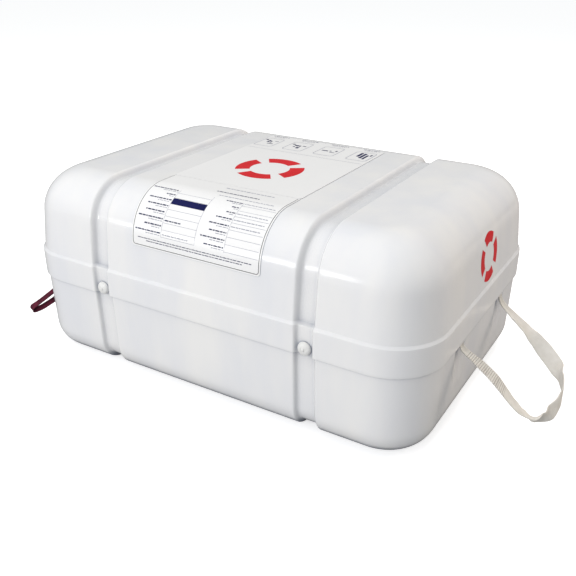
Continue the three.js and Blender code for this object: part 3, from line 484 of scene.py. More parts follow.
def webbing_rings(path, side, half_width, half_thick, cup):
    """Rings of a flat band: rounded edges, and a cross-section that cups a little."""
    along = np.gradient(path, axis=0)
    along /= np.linalg.norm(along, axis=1)[:, None]
    side = side - (side * along).sum(axis=1)[:, None] * along
    side /= np.linalg.norm(side, axis=1)[:, None]
    up = np.cross(along, side)
    flat = np.linspace(-0.92, 0.92, FLAT_SAMPLES)
    across = np.concatenate([flat, [0.975, 1.0, 0.975], flat[::-1], [-0.975, -1.0, -0.975]])
    under, over = np.full(FLAT_SAMPLES, -1.0), np.full(FLAT_SAMPLES, 1.0)
    lift = np.concatenate([under, [-0.65, 0, 0.65], over, [0.65, 0, -0.65]])
    sideways = across[None, :] * half_width[:, None]
    upwards = lift[None, :] * half_thick[:, None] + cup[:, None] * (across[None, :] ** 2 - 0.4)
    return path[:, None, :] + side[:, None, :] * sideways[:, :, None] + up[:, None, :] * upwards[:, :, None]


def band_mesh(name, rings, made):
    rows, columns = rings.shape[:2]
    points = rings.reshape(-1, 3)
    faces = grid_faces(rows, columns, flip=True)
    faces.append(tuple(range(columns)))
    faces.append(tuple((rows - 1) * columns + k for k in reversed(range(columns))))
    return new_object(name, points, faces, made)


ANCHOR_THICKNESS = 4.9
ANCHOR_MIDDLE_X = node_box("handle_anchor_front")[1][0] - ANCHOR_THICKNESS / 2
ANCHOR_BOTTOM = node_box("handle_anchor_front")[0][2]
HANDLE_LOOP = [
    (-1, -92, -12), (16, -93, -22), (35, -94, -33), (53, -94, -47), (68, -92, -64),
    (82, -88, -81), (97, -79, -96), (112, -62, -107), (124, -38, -107), (129, -12, -101),
    (126, 15, -92), (111, 42, -82), (87, 62, -70), (65, 74, -57), (44, 82, -45),
    (21, 88, -32), (1, 91, -17),
]
HANDLE_ACROSS = [
    (0, 1, 0), (0, 1, 0), (0, 1, 0), (0, 1, 0), (-0.1, 1, 0),
    (-0.3, 0.95, 0.1), (-0.6, 0.8, 0), (-0.45, 0.1, -0.9), (0.3, 0, -0.95), (0.15, 0.25, -0.95),
    (-0.05, 0.3, -0.95), (-0.15, 0.25, -0.95), (-0.63, -0.3, -0.7), (-0.6, -0.5, -0.6), (-0.3, -0.8, -0.35),
    (-0.05, -1, -0.05), (0, -1, 0), (0, -1, 0), (0, -1, 0),
]
HANDLE_WIDTHS = [13, 16, 22.6] + [25] * 13 + [22.6, 16, 13]
HANDLE_THICKNESS = 1.9
HANDLE_SAMPLES = 760
RIB_PITCH = 3.4
RIB_HEIGHT = 0.34
RIB_VALLEY_DEPTH = 0.1
RIBS_MIDDLE = 0.13
RIBS_REACH = 0.075
RIBS_ELSEWHERE = 0.12


def handle_ribs(share, at):
    """Cross ribs, high near the front root and faint elsewhere."""
    bold = np.exp(-((share - RIBS_MIDDLE) / RIBS_REACH) ** 4)
    return RIB_HEIGHT * (RIBS_ELSEWHERE + (1 - RIBS_ELSEWHERE) * bold) * np.sin(2 * np.pi * at / RIB_PITCH)


def handle_cup(share):
    """How far the band cups: most where it leaves its two roots."""
    return 2.2 * np.exp(-(share / 0.09) ** 2) + 2.0 * np.exp(-((1 - share) / 0.1) ** 2) + 0.5


def build_handle():
    root_z = ANCHOR_BOTTOM - ROOT_BELOW_ANCHOR
    loop = [(LENGTH / 2 + out, y, SKIRT_BOTTOM + rise) for out, y, rise in HANDLE_LOOP]
    route = [(ANCHOR_MIDDLE_X, -HANDLE_Y, root_z), *loop, (ANCHOR_MIDDLE_X, HANDLE_Y, root_z)]
    path, at, along = smooth_path(route, HANDLE_SAMPLES)
    side = spread_values(HANDLE_ACROSS, HANDLE_SAMPLES)
    half_width = spread_values(HANDLE_WIDTHS, HANDLE_SAMPLES) / 2
    share = at / at[-1]
    ribs = handle_ribs(share, at)
    rings = webbing_rings(path, side, half_width, HANDLE_THICKNESS / 2 + ribs, handle_cup(share))
    piece = band_mesh("handle_strap", rings, HANDLE_WEBBING)
    # Faces in the rib valleys take the darker copy: painted shade between the ribs
    piece.data.materials.append(RIB_VALLEY_SHADE)
    columns = rings.shape[1]
    for row in np.flatnonzero(ribs < -RIB_VALLEY_DEPTH):
        for polygon in piece.data.polygons[row * columns:(row + 1) * columns]:
            polygon.material_index = 1
    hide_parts("carry_handle")


PAINTER_LOOP = [
    (0, -7, -19), (4, -12, -39), (9, -17, -55), (17, -26, -68), (28, -38, -80),
    (39, -50, -91), (47, -58, -99), (48, -57, -105), (40, -48, -103), (29, -36, -95),
    (18, -24, -85), (8, -10, -71), (2, 0, -53), (0, 5, -33), (-2, 6, -17),
]
PAINTER_ACROSS = [
    (0, -1, 0), (0.6, -0.7, -0.1), (0.8, -0.5, -0.3), (0.8, -0.5, -0.3), (0.9, -0.2, -0.3),
    (0.8, -0.4, -0.4), (0.8, -0.4, -0.4), (0.6, -0.7, -0.2), (0, -1, 0),
]
PAINTER_WIDTH = 12
PAINTER_THICKNESS = 2
PAINTER_SAMPLES = 420
STRAND_GAP = 0.5
WEAVE_PITCH = 1.8
WEAVE_HEIGHT = 0.06
PAINTER_CUP = 0.3


def build_painter_loop():
    root_z = ANCHOR_BOTTOM - ROOT_BELOW_ANCHOR
    off_middle = (PAINTER_WIDTH + STRAND_GAP) / 2
    loop = [(-LENGTH / 2 - out, PAINTER_Y + y, SKIRT_BOTTOM + rise) for out, y, rise in PAINTER_LOOP]
    route = [
        (-ANCHOR_MIDDLE_X, PAINTER_Y - off_middle, root_z),
        *loop,
        (-ANCHOR_MIDDLE_X, PAINTER_Y + off_middle, root_z),
    ]
    path, at, along = smooth_path(route, PAINTER_SAMPLES)
    side = spread_values(PAINTER_ACROSS, PAINTER_SAMPLES)
    half_width = np.full(PAINTER_SAMPLES, PAINTER_WIDTH / 2)
    half_thick = PAINTER_THICKNESS / 2 + WEAVE_HEIGHT * np.sin(2 * np.pi * at / WEAVE_PITCH)
    rings = webbing_rings(path, side, half_width, half_thick, np.full(PAINTER_SAMPLES, PAINTER_CUP))
    piece = band_mesh("painter_strap", rings, PAINTER_WEBBING)
    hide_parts("painter_loop")


build_handle()
build_painter_loop()


# Shells: rings of a rounded rectangle, one for each step of a profile


def ramp(u, soft):
    """Zero below, u above, and rounded between."""
    return np.where(u < -soft, 0, np.where(u > soft, u, (u + soft) ** 2 / (4 * soft)))


def trough(u, floor_half, depth, slope, soft):
    """Depth of a rounded trough at distance u from its middle."""
    run = depth / slope
    fall = ramp(u - floor_half, soft) - ramp(u - floor_half - run, soft)
    return depth - slope * fall


def groove(x, depth, base):
    """Depth of the strap grooves at x; base is how far the skin lies behind the skirt's outside."""
    u = np.abs(np.abs(x) - GROOVE_X)
    floor_half = GROOVE_FLOOR / 2 + base * math.tan(GROOVE_SIDE_ANGLE / 2)
    return trough(u, floor_half, depth, math.tan(GROOVE_SIDE_ANGLE), GROOVE_SOFTNESS)


def channel(x, y, z, skin):
    """How far an end wall is pressed in at the webbing channels."""
    depth = np.zeros_like(x)
    fade = np.clip((z - (SKIRT_BOTTOM - CHANNEL_FADE)) / (CHANNEL_FADE - 1.5), 0, 1)
    fade = np.where(z > CHANNEL_TOP + skin, 0, fade)
    for end, middle in ((1, -HANDLE_Y), (1, HANDLE_Y), (-1, PAINTER_Y)):
        across = trough(
            np.abs(y - middle), CHANNEL_FLOOR_HALF + skin * CHANNEL_WIDENING, CHANNEL_DEPTH,
            CHANNEL_DEPTH / CHANNEL_SIDE, CHANNEL_SOFTNESS,
        )
        depth = np.where(np.sign(x) == end, np.maximum(depth, across * fade), depth)
    return depth


def spaced_samples(low, high, step, dense_at, reach, dense_step):
    """Sample places from low to high, close together round the given middles."""
    places = list(np.arange(low, high, step))
    places = [p for p in places if all(abs(p - middle) > reach for middle in dense_at)]
    for middle in dense_at:
        places += list(np.arange(middle - reach, middle + reach + 0.01, dense_step))
    places = sorted(p for p in set(np.round(places, 3)) if low < p < high)
    return np.array([low, *places, high])


FRONT_X = spaced_samples(
    -STRAIGHT_X, STRAIGHT_X, WIDE_SPACING, (-GROOVE_X, GROOVE_X), GROOVE_REACH, GROOVE_SPACING,
)


def ring(half_x, half_y, radius, end_y):
    """A rounded rectangle counter-clockwise from its front left, as rows of x and of y."""
    angles = np.linspace(0, math.pi / 2, CORNER_SAMPLES + 1)
    ends = end_y * (half_y - radius)
    cos, sin = radius * np.cos(angles), radius * np.sin(angles)
    x = np.concatenate([
        FRONT_X, half_x - radius + cos[::-1], np.full(len(ends), half_x), half_x - radius + cos,
        FRONT_X[::-1], radius - half_x - cos[::-1], np.full(len(ends), -half_x), radius - half_x - cos,
    ])
    y = np.concatenate([
        np.full(len(FRONT_X), -half_y), radius - half_y - sin[::-1], ends, half_y - radius + sin,
        np.full(len(FRONT_X), half_y), half_y - radius + sin[::-1], -ends, radius - half_y - sin,
    ])
    return x, y


class Row:
    """One step of a profile: its ring, the way that depth is measured, and its share of wall or band."""

    def __init__(self, inset, z, out=1.0, up=0.0, wall=1.0):
        self.inset = inset
        self.z = z
        self.out = out
        self.up = up
        self.wall = wall


def shell_points(rows, shrink, base, depth, skin, end_y, with_channels):
    """One ring for each row, with the grooves and channels pressed in."""
    rings = []
    for row in rows:
        inset = row.inset + skin * row.out
        x, y = ring(LENGTH / 2 - inset, WIDTH / 2 - inset, CORNER_RADIUS - shrink * inset, end_y)
        z = np.full(len(x), row.z - skin * row.up)
        wall = groove(x, depth, base + skin)
        band = groove(x, BAND_GROOVE_DEPTH, base + skin)
        dip = np.where(np.abs(x) <= STRAIGHT_X + 1, row.wall * wall + (1 - row.wall) * band, 0)
        y = y - np.sign(y) * dip * row.out
        z = z - dip * row.up
        if with_channels:
            x = x - np.sign(x) * np.where(np.abs(x) > STRAIGHT_X + 1, channel(x, y, z, skin), 0)
        rings.append(np.stack([x, y, z], axis=1))
    return np.array(rings)


def flat_faces(offset, ends):
    """Strips from front to back over the flat that the last ring bounds; each end takes in its side."""
    corner = CORNER_SAMPLES + 1
    counts = [len(FRONT_X), corner, ends, corner, len(FRONT_X), corner, ends, corner]
    starts = offset + np.concatenate([[0], np.cumsum(counts)])
    parts = [list(range(starts[k], starts[k + 1])) for k in range(8)]
    front, front_right, right, back_right, back, back_left, left, front_left = parts
    near = front_left + front + front_right
    far = (back_right + back + back_left)[::-1]
    faces = [(near[k], near[k + 1], far[k + 1], far[k]) for k in range(1, len(near) - 2)]
    faces.append((near[-2], near[-1], *right, far[-1], far[-2]))
    faces.append((near[0], near[1], far[1], far[0], *left))
    return faces


def shell_mesh(name, rows, shrink, base, depth, end_y, with_channels, node):
    """A laminate of even thickness between an outer and an inner skin, joined at its free edge."""
    outer = shell_points(rows, shrink, base, depth, 0, end_y, with_channels)
    inner = shell_points(rows, shrink, base, depth, LAMINATE, end_y, with_channels)
    count, columns = outer.shape[:2]
    inside = count * columns
    points = np.concatenate([outer.reshape(-1, 3), inner.reshape(-1, 3)])
    upwards = outer[-1, 0, 2] > outer[0, 0, 2]
    faces = grid_faces(count, columns, flip=not upwards)
    faces += grid_faces(count, columns, offset=inside, flip=upwards)
    outer_flat = flat_faces((count - 1) * columns, len(end_y))
    inner_flat = flat_faces(inside + (count - 1) * columns, len(end_y))
    faces += [face if upwards else face[::-1] for face in outer_flat]
    faces += [face[::-1] if upwards else face for face in inner_flat]
    for j in range(columns):
        a, b = j, (j + 1) % columns
        quad = (a, a + inside, b + inside, b)
        faces.append(quad if upwards else quad[::-1])
    piece = new_object(name, points, faces, GELCOAT)
    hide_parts(node)


def rounded_corner(before, corner, after, radius, steps):
    """Points on an arc that rounds one corner of an outline of (inset, z) points."""
    corner = np.array(corner, float)
    back = np.array(before, float) - corner
    on = np.array(after, float) - corner
    back /= np.linalg.norm(back)
    on /= np.linalg.norm(on)
    half = math.acos(np.clip(back @ on, -1, 1)) / 2
    cut = radius / math.tan(half)
    centre = corner + (back + on) / np.linalg.norm(back + on) * radius / math.sin(half)
    start = corner + back * cut - centre
    end = corner + on * cut - centre
    turn = math.atan2(start[0] * end[1] - start[1] * end[0], start @ end)
    angles = np.linspace(0, turn, steps + 1)
    return [
        centre + np.array([
            start[0] * math.cos(a) - start[1] * math.sin(a),
            start[0] * math.sin(a) + start[1] * math.cos(a),
        ]) for a in angles
    ]


def upper_arc():
    """Inset and height of the middle of the arc that rounds the upper shell's edge."""
    centre_z = HEIGHT - UPPER_EDGE_RADIUS
    tangent_rise = centre_z + UPPER_EDGE_RADIUS * math.sin(UPPER_DRAFT) - WALL_START
    centre_inset = (
        STEP_INSET + UPPER_EDGE_RADIUS * math.cos(UPPER_DRAFT) + tangent_rise * math.tan(UPPER_DRAFT)
    )
    return centre_inset, centre_z


def upper_rows():
    """Lip, skirt, step, wall and rounded edge, up to the flat top."""
    centre_inset, centre_z = upper_arc()
    wall_top = (
        centre_inset - UPPER_EDGE_RADIUS * math.cos(UPPER_DRAFT),
        centre_z + UPPER_EDGE_RADIUS * math.sin(UPPER_DRAFT),
    )
    skirt_start = (0, SKIRT_BOTTOM)
    skirt_end = (0, SKIRT_TOP)
    step_end = (STEP_INSET, WALL_START)
    lip = rounded_corner((LAMINATE, SKIRT_BOTTOM), skirt_start, skirt_end, LIP_RADIUS, 4)
    rows = [Row(inset, z, wall=0.0) for inset, z in lip]
    for share in np.linspace(0.12, 0.85, 5):
        rows.append(Row(0, SKIRT_BOTTOM + SKIRT_HEIGHT * share, wall=0.0))
    convex = rounded_corner(skirt_start, skirt_end, step_end, STEP_ROUND, 5)
    concave = rounded_corner(skirt_end, step_end, wall_top, STEP_ROUND, 5)
    for inset, z in convex + concave:
        share = np.clip((z - SKIRT_TOP) / STEP_HEIGHT, 0, 1)
        rows.append(Row(inset, z, wall=share))
    for share in np.linspace(0.12, 0.88, 6):
        rows.append(Row(
            STEP_INSET + (wall_top[0] - STEP_INSET) * share,
            WALL_START + (wall_top[1] - WALL_START) * share,
            out=math.cos(UPPER_DRAFT), up=math.sin(UPPER_DRAFT),
        ))
    for angle in np.linspace(UPPER_DRAFT, math.pi / 2, EDGE_ROWS + 1):
        out, up = math.cos(angle), math.sin(angle)
        rows.append(Row(centre_inset - UPPER_EDGE_RADIUS * out, centre_z + UPPER_EDGE_RADIUS * up, out, up))
    return rows


def lower_rows():
    """Rim behind the skirt, jog in the grooves below it, wall and rounded edge, down to the underside."""
    radius = LOWER_EDGE_RADIUS
    wall_bottom = radius - radius * math.sin(LOWER_DRAFT)
    tangent_drop = SKIRT_BOTTOM - wall_bottom
    centre_inset = RIM_INSET + radius * math.cos(LOWER_DRAFT) + tangent_drop * math.tan(LOWER_DRAFT)

    def drift(z):
        return RIM_INSET + max(0, SKIRT_BOTTOM - z) * math.tan(LOWER_DRAFT)

    rim_edge = (RIM_INSET, RIM_TOP)
    lip = rounded_corner((RIM_INSET + LAMINATE, RIM_TOP), rim_edge, (RIM_INSET, 0), LIP_RADIUS, 3)
    rows = [Row(inset, z, wall=0.0) for inset, z in lip]
    for z in (CHANNEL_TOP + 3, CHANNEL_TOP, CHANNEL_TOP - 2, SKIRT_BOTTOM + 8):
        rows.append(Row(RIM_INSET, z, wall=0.0))
    for z in (SKIRT_BOTTOM, BAND_JOG_TOP + 1.5, BAND_JOG_TOP):
        rows.append(Row(drift(z), z, wall=0.0))
    rows.append(Row(drift(BAND_JOG_TOP - 1), BAND_JOG_TOP - 1, wall=0.06))
    for below in (2.5, 4, 5, 6.5):
        z = BAND_JOG_TOP - below
        share = np.clip(below / (BAND_JOG_TOP - BAND_JOG_BOTTOM), 0, 1)
        rows.append(Row(drift(z), z, wall=share))
    for z in np.linspace(BAND_JOG_BOTTOM - 5, wall_bottom + 4, 14):
        rows.append(Row(drift(z), z))
    for angle in np.linspace(LOWER_DRAFT, math.pi / 2, EDGE_ROWS + 1):
        out, up = math.cos(angle), -math.sin(angle)
        rows.append(Row(centre_inset - radius * out, radius + radius * up, out, up))
    return rows


def build_shells():
    plain_ends = np.linspace(-1, 1, PLAIN_END_SAMPLES + 2)[1:-1]
    shell_mesh(
        "shell_top", upper_rows(), UPPER_CORNER_SHRINK, 0, UPPER_GROOVE_DEPTH,
        plain_ends, False, "upper_shell",
    )
    straight = WIDTH / 2 - CORNER_RADIUS
    channels = (PAINTER_Y + 4, -HANDLE_Y, HANDLE_Y, -PAINTER_Y - 4)
    end_y = spaced_samples(-straight, straight, END_SPACING, channels, CHANNEL_REACH, CHANNEL_SPACING)
    shell_mesh(
        "shell_bottom", lower_rows(), LOWER_CORNER_SHRINK, RIM_INSET, LOWER_GROOVE_DEPTH,
        end_y[1:-1] / straight, True, "lower_shell",
    )


build_shells()


# Labels and print lie on the upper shell: s runs along its outline from the top of the skirt's step

WALL_RISE = upper_arc()[1] + UPPER_EDGE_RADIUS * math.sin(UPPER_DRAFT) - WALL_START
WALL_LENGTH = WALL_RISE / math.cos(UPPER_DRAFT)
EDGE_LENGTH = UPPER_EDGE_RADIUS * (math.pi / 2 - UPPER_DRAFT)
FLAT_START = WALL_LENGTH + EDGE_LENGTH
FILM_CORNER = 5
FILM_COLUMNS = 10
FILM_UNDER = 0.3
FILM_OVER = 0.8
PRINT_OVER = 0.87


def on_outline(s):
    """Inset and height at a length s along the upper shell's outline, and its direction outwards."""
    centre_inset, centre_z = upper_arc()
    if s < WALL_LENGTH:
        out, up = math.cos(UPPER_DRAFT), math.sin(UPPER_DRAFT)
        return STEP_INSET + s * up, WALL_START + s * out, out, up
    if s < FLAT_START:
        angle = UPPER_DRAFT + (s - WALL_LENGTH) / UPPER_EDGE_RADIUS
        out, up = math.cos(angle), math.sin(angle)
        return centre_inset - UPPER_EDGE_RADIUS * out, centre_z + UPPER_EDGE_RADIUS * up, out, up
    return centre_inset + s - FLAT_START, HEIGHT, 0, 1


def over_front(x, s, lift):
    inset, z, out, up = on_outline(s)
    return (x, inset - WIDTH / 2 - out * lift, z + up * lift)


def over_end(y, s, lift):
    inset, z, out, up = on_outline(s)
    return (LENGTH / 2 - inset + out * lift, y, z + up * lift)


def s_of_height(z):
    return (z - WALL_START) / math.cos(UPPER_DRAFT)


def s_of_front(y):
    return FLAT_START + y + WIDTH / 2 - upper_arc()[0]


def steps_between(low, high, step):
    return np.linspace(low, high, max(2, int(math.ceil((high - low) / step)) + 1))


class Print:
    """Flat shapes that follow the shell, gathered into one mesh for each colour."""

    def __init__(self, name, colour, place, slot, over=PRINT_OVER):
        self.name = name
        self.colour = colour
        self.place = place
        self.slot = slot
        self.over = over
        self.points = []
        self.faces = []

    def strip(self, first, second):
        """A ribbon between two rows of (across, s) points of the same count."""
        start = len(self.points)
        count = len(first)
        self.points += [self.place(a, s, self.over) for a, s in first]
        self.points += [self.place(a, s, self.over) for a, s in second]
        for k in range(start, start + count - 1):
            self.faces.append((k, k + 1, k + count + 1, k + count))

    def bar(self, left, right, low, high):
        rows = steps_between(low, high, 4)
        self.strip([(right, s) for s in rows], [(left, s) for s in rows])

    def frame(self, left, right, low, high, corner, width):
        """Outline of a box with rounded corners."""
        self.corners(left, right, low, high, corner, width, (270, 0, 90, 180), True)

    def tray(self, left, right, low, high, corner, width):
        """Outline of a box with rounded low corners, open at its high side."""
        ends = ((left, high), (left + width, high)), ((right, high), (right - width, high))
        self.corners(left, right, low, high, corner, width, (180, 270), False, ends)

    def corners(self, left, right, low, high, corner, width, starts, closed, ends=None):
        """Outline through the corners whose arcs start at the given angles."""
        outer, inner = [], []
        for start in starts:
            cx = left + corner if start in (90, 180) else right - corner
            cs = low + corner if start in (180, 270) else high - corner
            for angle in np.radians(np.linspace(start, start + 90, 6)):
                cos, sin = math.cos(angle), math.sin(angle)
                outer.append((cx + corner * cos, cs + corner * sin))
                inner.append((cx + (corner - width) * cos, cs + (corner - width) * sin))
        if closed:
            outer.append(outer[0])
            inner.append(inner[0])
        else:
            outer = [ends[0][0], *outer, ends[1][0]]
            inner = [ends[0][1], *inner, ends[1][1]]
        self.line(inner, outer)

    def line(self, inner, outer):
        """A ribbon with extra points along its straight sides, so that it follows the rounded edge."""
        first, second = [], []
        for k in range(len(outer) - 1):
            parts = max(1, int(math.dist(outer[k], outer[k + 1]) / 4))
            for j in range(parts):
                share = j / parts
                first.append(tuple(np.array(inner[k]) * (1 - share) + np.array(inner[k + 1]) * share))
                second.append(tuple(np.array(outer[k]) * (1 - share) + np.array(outer[k + 1]) * share))
        self.strip(first + inner[-1:], second + outer[-1:])

    def sector(self, x, s, inner, outer, start, end):
        angles = np.radians(np.linspace(start, end, 16))
        radii = np.linspace(inner, outer, 5)
        for a, b in zip(radii[:-1], radii[1:]):
            self.strip(
                [(x + a * math.cos(t), s + a * math.sin(t)) for t in angles],
                [(x + b * math.cos(t), s + b * math.sin(t)) for t in angles],
            )

    def make(self):
        return new_object(self.name, self.points, self.faces, self.colour, smooth=False)


def film(name, left, right, low, high, rounded_high, node):
    """Printed film: a thin slab with rounded corners at its low end, and at its high end if asked."""
    turn = np.radians(np.linspace(0, 90, 7))
    corner = [(FILM_CORNER * (1 - math.cos(t)), FILM_CORNER * (1 - math.sin(t))) for t in turn]
    rows = [(low + along, inset) for along, inset in corner]
    last = high - FILM_CORNER if rounded_high else high
    rows += [(s, 0) for s in steps_between(low + FILM_CORNER, last, 3)[1:]]
    if rounded_high:
        rows += [(high - along, inset) for along, inset in corner[::-1][1:]]
    points = []
    for s, inset in rows:
        across = np.linspace(left + inset, right - inset, FILM_COLUMNS)
        points += [over_front(x, s, FILM_OVER) for x in across]
        points += [over_front(x, s, FILM_UNDER) for x in across[::-1]]
    columns = 2 * FILM_COLUMNS
    faces = grid_faces(len(rows), columns)
    faces.append(tuple(reversed(range(columns))))
    faces.append(tuple((len(rows) - 1) * columns + k for k in range(columns)))
    piece = new_object(name, points, faces, FILM, smooth_angle=math.radians(40))
    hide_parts(node)


data_low, data_high = node_box("data_label")
panel_low, panel_high = node_box("instruction_label")
LABEL_LEFT, LABEL_RIGHT = data_low[0], data_high[0]
DATA_BOTTOM = s_of_height(data_low[2])
DATA_TOP = s_of_front(data_high[1])
PANEL_BOTTOM = s_of_front(panel_low[1])
PANEL_TOP = s_of_front(panel_high[1])

OUTLINE_INSET = 2.2
OUTLINE_CORNER = 4.5
OUTLINE_WIDTH = 0.9
WORD_LENGTHS = (5.5, 3.2, 7.0, 4.1, 2.6, 6.2)
WORD_GAP = 1.2
SHORTEST_WORD = 1.5
ROW_COUNT = 8
ROW_PITCH = 10.5
ROWS_TOP = 151
TABLE_LOW = ROWS_TOP - ROW_COUNT * ROW_PITCH + 6
TABLE_HIGH = ROWS_TOP + 3
RULE_BELOW = 4.1
RULE_WIDTH = 0.5
NAMES_GAP = 2
SMALL_BELOW = 2.6
FIRST_FIELDS = (-61, 0)
FIRST_REACH = (50, 17, 43, 40, 38, 48, 33, 49)
FIRST_NAME_SHARE = 0.95
FIRST_SMALL_SHARE = 0.55
SECOND_FIELDS = (52, 108)
SECOND_REACH = (28, 12, 15, 27, 34, 30, 42, 34)
SECOND_SMALL_SHARE = 0.6
SECOND_RAISED = 1
FILLED_ROWS = (0, 2, 3, 4)
NAVY_ROW = 2
NAVY_HALF = 5.5


def words(printed, left, right, s, height, start=0):
    """A line of print, as bars of uneven length with gaps between them."""
    place = left
    count = start
    while place < right - SHORTEST_WORD:
        end = min(place + WORD_LENGTHS[count % len(WORD_LENGTHS)], right)
        printed.bar(place, end, s - height / 2, s + height / 2)
        place = end + WORD_GAP
        count += 1


def rule_below(printed, fields, s):
    printed.bar(fields[0], fields[1], s - RULE_BELOW - RULE_WIDTH, s - RULE_BELOW)


def upright(printed, x):
    printed.bar(x, x + RULE_WIDTH, TABLE_LOW, TABLE_HIGH)


def first_table(ink, fine):
    left, right = FIRST_FIELDS
    names_end = left - NAMES_GAP
    for row, reach in enumerate(FIRST_REACH):
        s = ROWS_TOP - row * ROW_PITCH
        if row != NAVY_ROW:
            rule_below(fine, FIRST_FIELDS, s)
        words(ink, names_end - reach * FIRST_NAME_SHARE, names_end, s + 1, 2.0, row)
        words(fine, names_end - reach * FIRST_SMALL_SHARE, names_end, s - SMALL_BELOW, 1.0, row + 2)
    upright(fine, left - 0.4)
    upright(fine, right - 0.2)
    navy = ROWS_TOP - NAVY_ROW * ROW_PITCH
    ink.bar(left, right, navy - NAVY_HALF, navy + NAVY_HALF)
    words(ink, left + 2, -30, ROWS_TOP - 5 * ROW_PITCH - 0.5, 1.8, 2)
    words(fine, left + 2, -12, ROWS_TOP - 7 * ROW_PITCH - 0.5, 1.4, 3)


def second_table(ink, fine):
    left, right = SECOND_FIELDS
    names_end = left - NAMES_GAP
    for row, reach in enumerate(SECOND_REACH):
        s = ROWS_TOP + SECOND_RAISED - row * ROW_PITCH
        words(ink, names_end - reach, names_end, s + 0.8, 1.8, row + 1)
        words(fine, names_end - reach * SECOND_SMALL_SHARE, names_end, s - SMALL_BELOW, 1.0, row)
        rule_below(fine, SECOND_FIELDS, s)
        if row in FILLED_ROWS:
            words(fine, left + 1.5, right - 4, s + 0.5, 1.3, row + 4)
    upright(fine, left - 0.4)


def print_data_label():
    """Outline, two tables with a dark field, headings above them and two lines at the foot."""
    dark = Print("label_outline", INK_BLACK, over_front, "label_film")
    dark.tray(
        LABEL_LEFT + OUTLINE_INSET, LABEL_RIGHT - OUTLINE_INSET, DATA_BOTTOM + OUTLINE_INSET, DATA_TOP - 1.5,
        OUTLINE_CORNER, OUTLINE_WIDTH,
    )
    dark.make()
    ink = Print("label_text", INK_NAVY, over_front, "label_film")
    fine = Print("label_lines", INK_GREY, over_front, "label_film")
    first_table(ink, fine)
    second_table(ink, fine)
    words(ink, -10, 64, 174, 2.4, 1)
    words(fine, 2, 96, 162, 1.4, 3)
    words(fine, -6, 78, 192, 2.0, 2)
    words(ink, -104, 99, 66, 1.2, 66)
    words(ink, -88, 83, 62.3, 1.2, 62)
    ink.make()
    fine.make()


BOX_PLACES = ((-116, -75), (-57, -14), (5, 48), (68, 110))
BOX_LOW = 424
BOX_HIGH = 477


def print_instruction_label():
    fine = Print("panel_lines", INK_GREY, over_front, "label_film")
    ink = Print("panel_marks", INK_NAVY, over_front, "label_film")
    fine.bar(LABEL_LEFT + 3, LABEL_RIGHT - 3, 408, 408.7)
    marks = (
        ((-12, 14, 5, 5), (-4, 6, 4, 14), (2, 2, 3, 9), (6, -8, 12, 3), (10, 10, 8, 2)),
        ((-13, 10, 5, 5), (-2, 4, 12, 6), (3, -8, 6, 8), (10, 6, 7, 3), (-6, -4, 4, 4)),
        ((-8, 1, 12, 4), (2, 3, 4, 3), (8, -4, 10, 2), (12, 6, 3, 7)),
        ((-6, 8, 5, 24), (1, 4, 5, 30), (8, -2, 4, 26), (13, 12, 3, 10)),
    )
    for (left, right), shapes in zip(BOX_PLACES, marks):
        fine.frame(left + 2, right - 2, BOX_LOW, BOX_HIGH, 6, 1.1)
        middle = (left + right) / 2
        centre = (BOX_LOW + BOX_HIGH) / 2
        for across, along, wide, tall in shapes:
            x = middle + across
            s = centre + along
            ink.bar(x - wide / 2, x + wide / 2, s - tall / 2, s + tall / 2)
        words(ink, left + 6, right - 3, BOX_HIGH + 15, 1.8, int(middle))
        words(fine, left + 10, right - 8, BOX_HIGH + 9, 1.4, int(middle) + 2)
    fine.make()
    ink.make()


RING_GAP = 22
RING_HOLE_SHARE = 0.58
END_PRINT_OVER = 0.12


def lifebuoy(printed, across, s, radius):
    """A plain ring in four parts, as on any lifebuoy."""
    for quarter in range(4):
        start = 45 + quarter * 90 + RING_GAP / 2
        printed.sector(across, s, radius * RING_HOLE_SHARE, radius, start, start + 90 - RING_GAP)


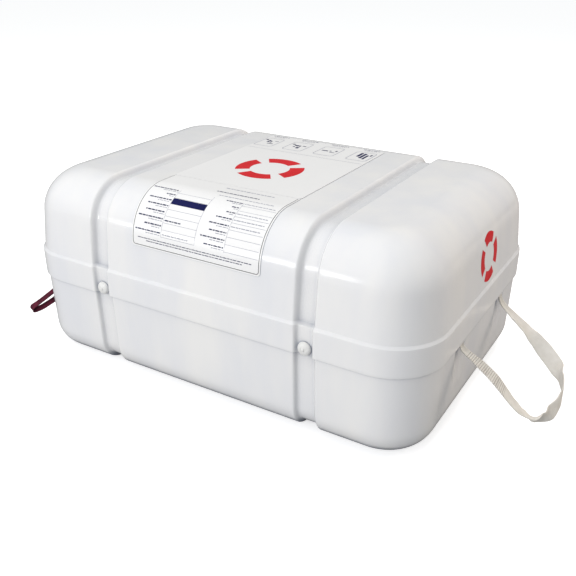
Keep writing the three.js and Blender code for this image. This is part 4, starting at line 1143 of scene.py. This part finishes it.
def build_labels():
    film("data_film", LABEL_LEFT, LABEL_RIGHT, DATA_BOTTOM, DATA_TOP, False, "data_label")
    film("panel_film", LABEL_LEFT, LABEL_RIGHT, PANEL_BOTTOM, PANEL_TOP, True, "instruction_label")
    print_data_label()
    print_instruction_label()
    top = Print("top_ring", INK_RED, over_front, "label_film")
    lifebuoy(top, -6, 311, 56)
    top.make()
    end = Print("end_ring", INK_RED, over_end, "shell_gelcoat", over=END_PRINT_OVER)
    lifebuoy(end, 12, 44, 38)
    end.make()


build_labels()


# Joint bolts, turned about the Y axis, with a recess round the nub in the middle of the head

BOLT_TURNS = 40
SHANK_RADIUS = 4
HEAD_THICKNESS = 7.7


def bolt_mesh(side, end, x, z, facing, rings):
    points = []
    for radius, y in rings:
        for k in range(BOLT_TURNS):
            angle = 2 * math.pi * k / BOLT_TURNS
            points.append((x + radius * math.cos(angle), facing * y, z + radius * math.sin(angle)))
    faces = grid_faces(len(rings), BOLT_TURNS, flip=facing < 0)
    crease = math.radians(50)
    piece = new_object(f"head_{side}_{end}", points, faces, NYLON, smooth_angle=crease)
    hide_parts(f"bolt_{side}_{end}")


def build_bolts():
    low, high = node_box("bolt_front_left")
    head = (high[0] - low[0]) / 2
    z = (low[2] + high[2]) / 2
    profile = [
        (0, 0.1), (1.6, 0.15), (2.4, 0.7), (2.7, 1.9), (3.3, 2.1), (3.8, 1.5), (5.6, 1.7), (7.4, 2.4),
        (8.9, 3.5), (9.9, 4.9), (head - 0.1, 6.3), (head, 7.2), (head - 0.4, HEAD_THICKNESS),
        (SHANK_RADIUS, HEAD_THICKNESS),
    ]
    rings = [(radius, low[1] + depth) for radius, depth in profile]
    rings += [(SHANK_RADIUS, high[1]), (0, high[1])]
    for side, facing in (("front", 1), ("back", -1)):
        for end, x in (("left", -GROOVE_X), ("right", GROOVE_X)):
            bolt_mesh(side, end, x, z, facing, rings)


build_bolts()


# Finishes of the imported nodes, which keep their own shapes


def finish_nodes():
    slots = {row["node"]: row["material_slot"] for row in frame["record"]["subparts"]}
    for name, node in frame["nodes"].items():
        node.data.materials.clear()
        node.data.materials.append(FINISHES[slots[name]])


finish_nodes()

bpy.context.scene.view_settings.view_transform = "Standard"
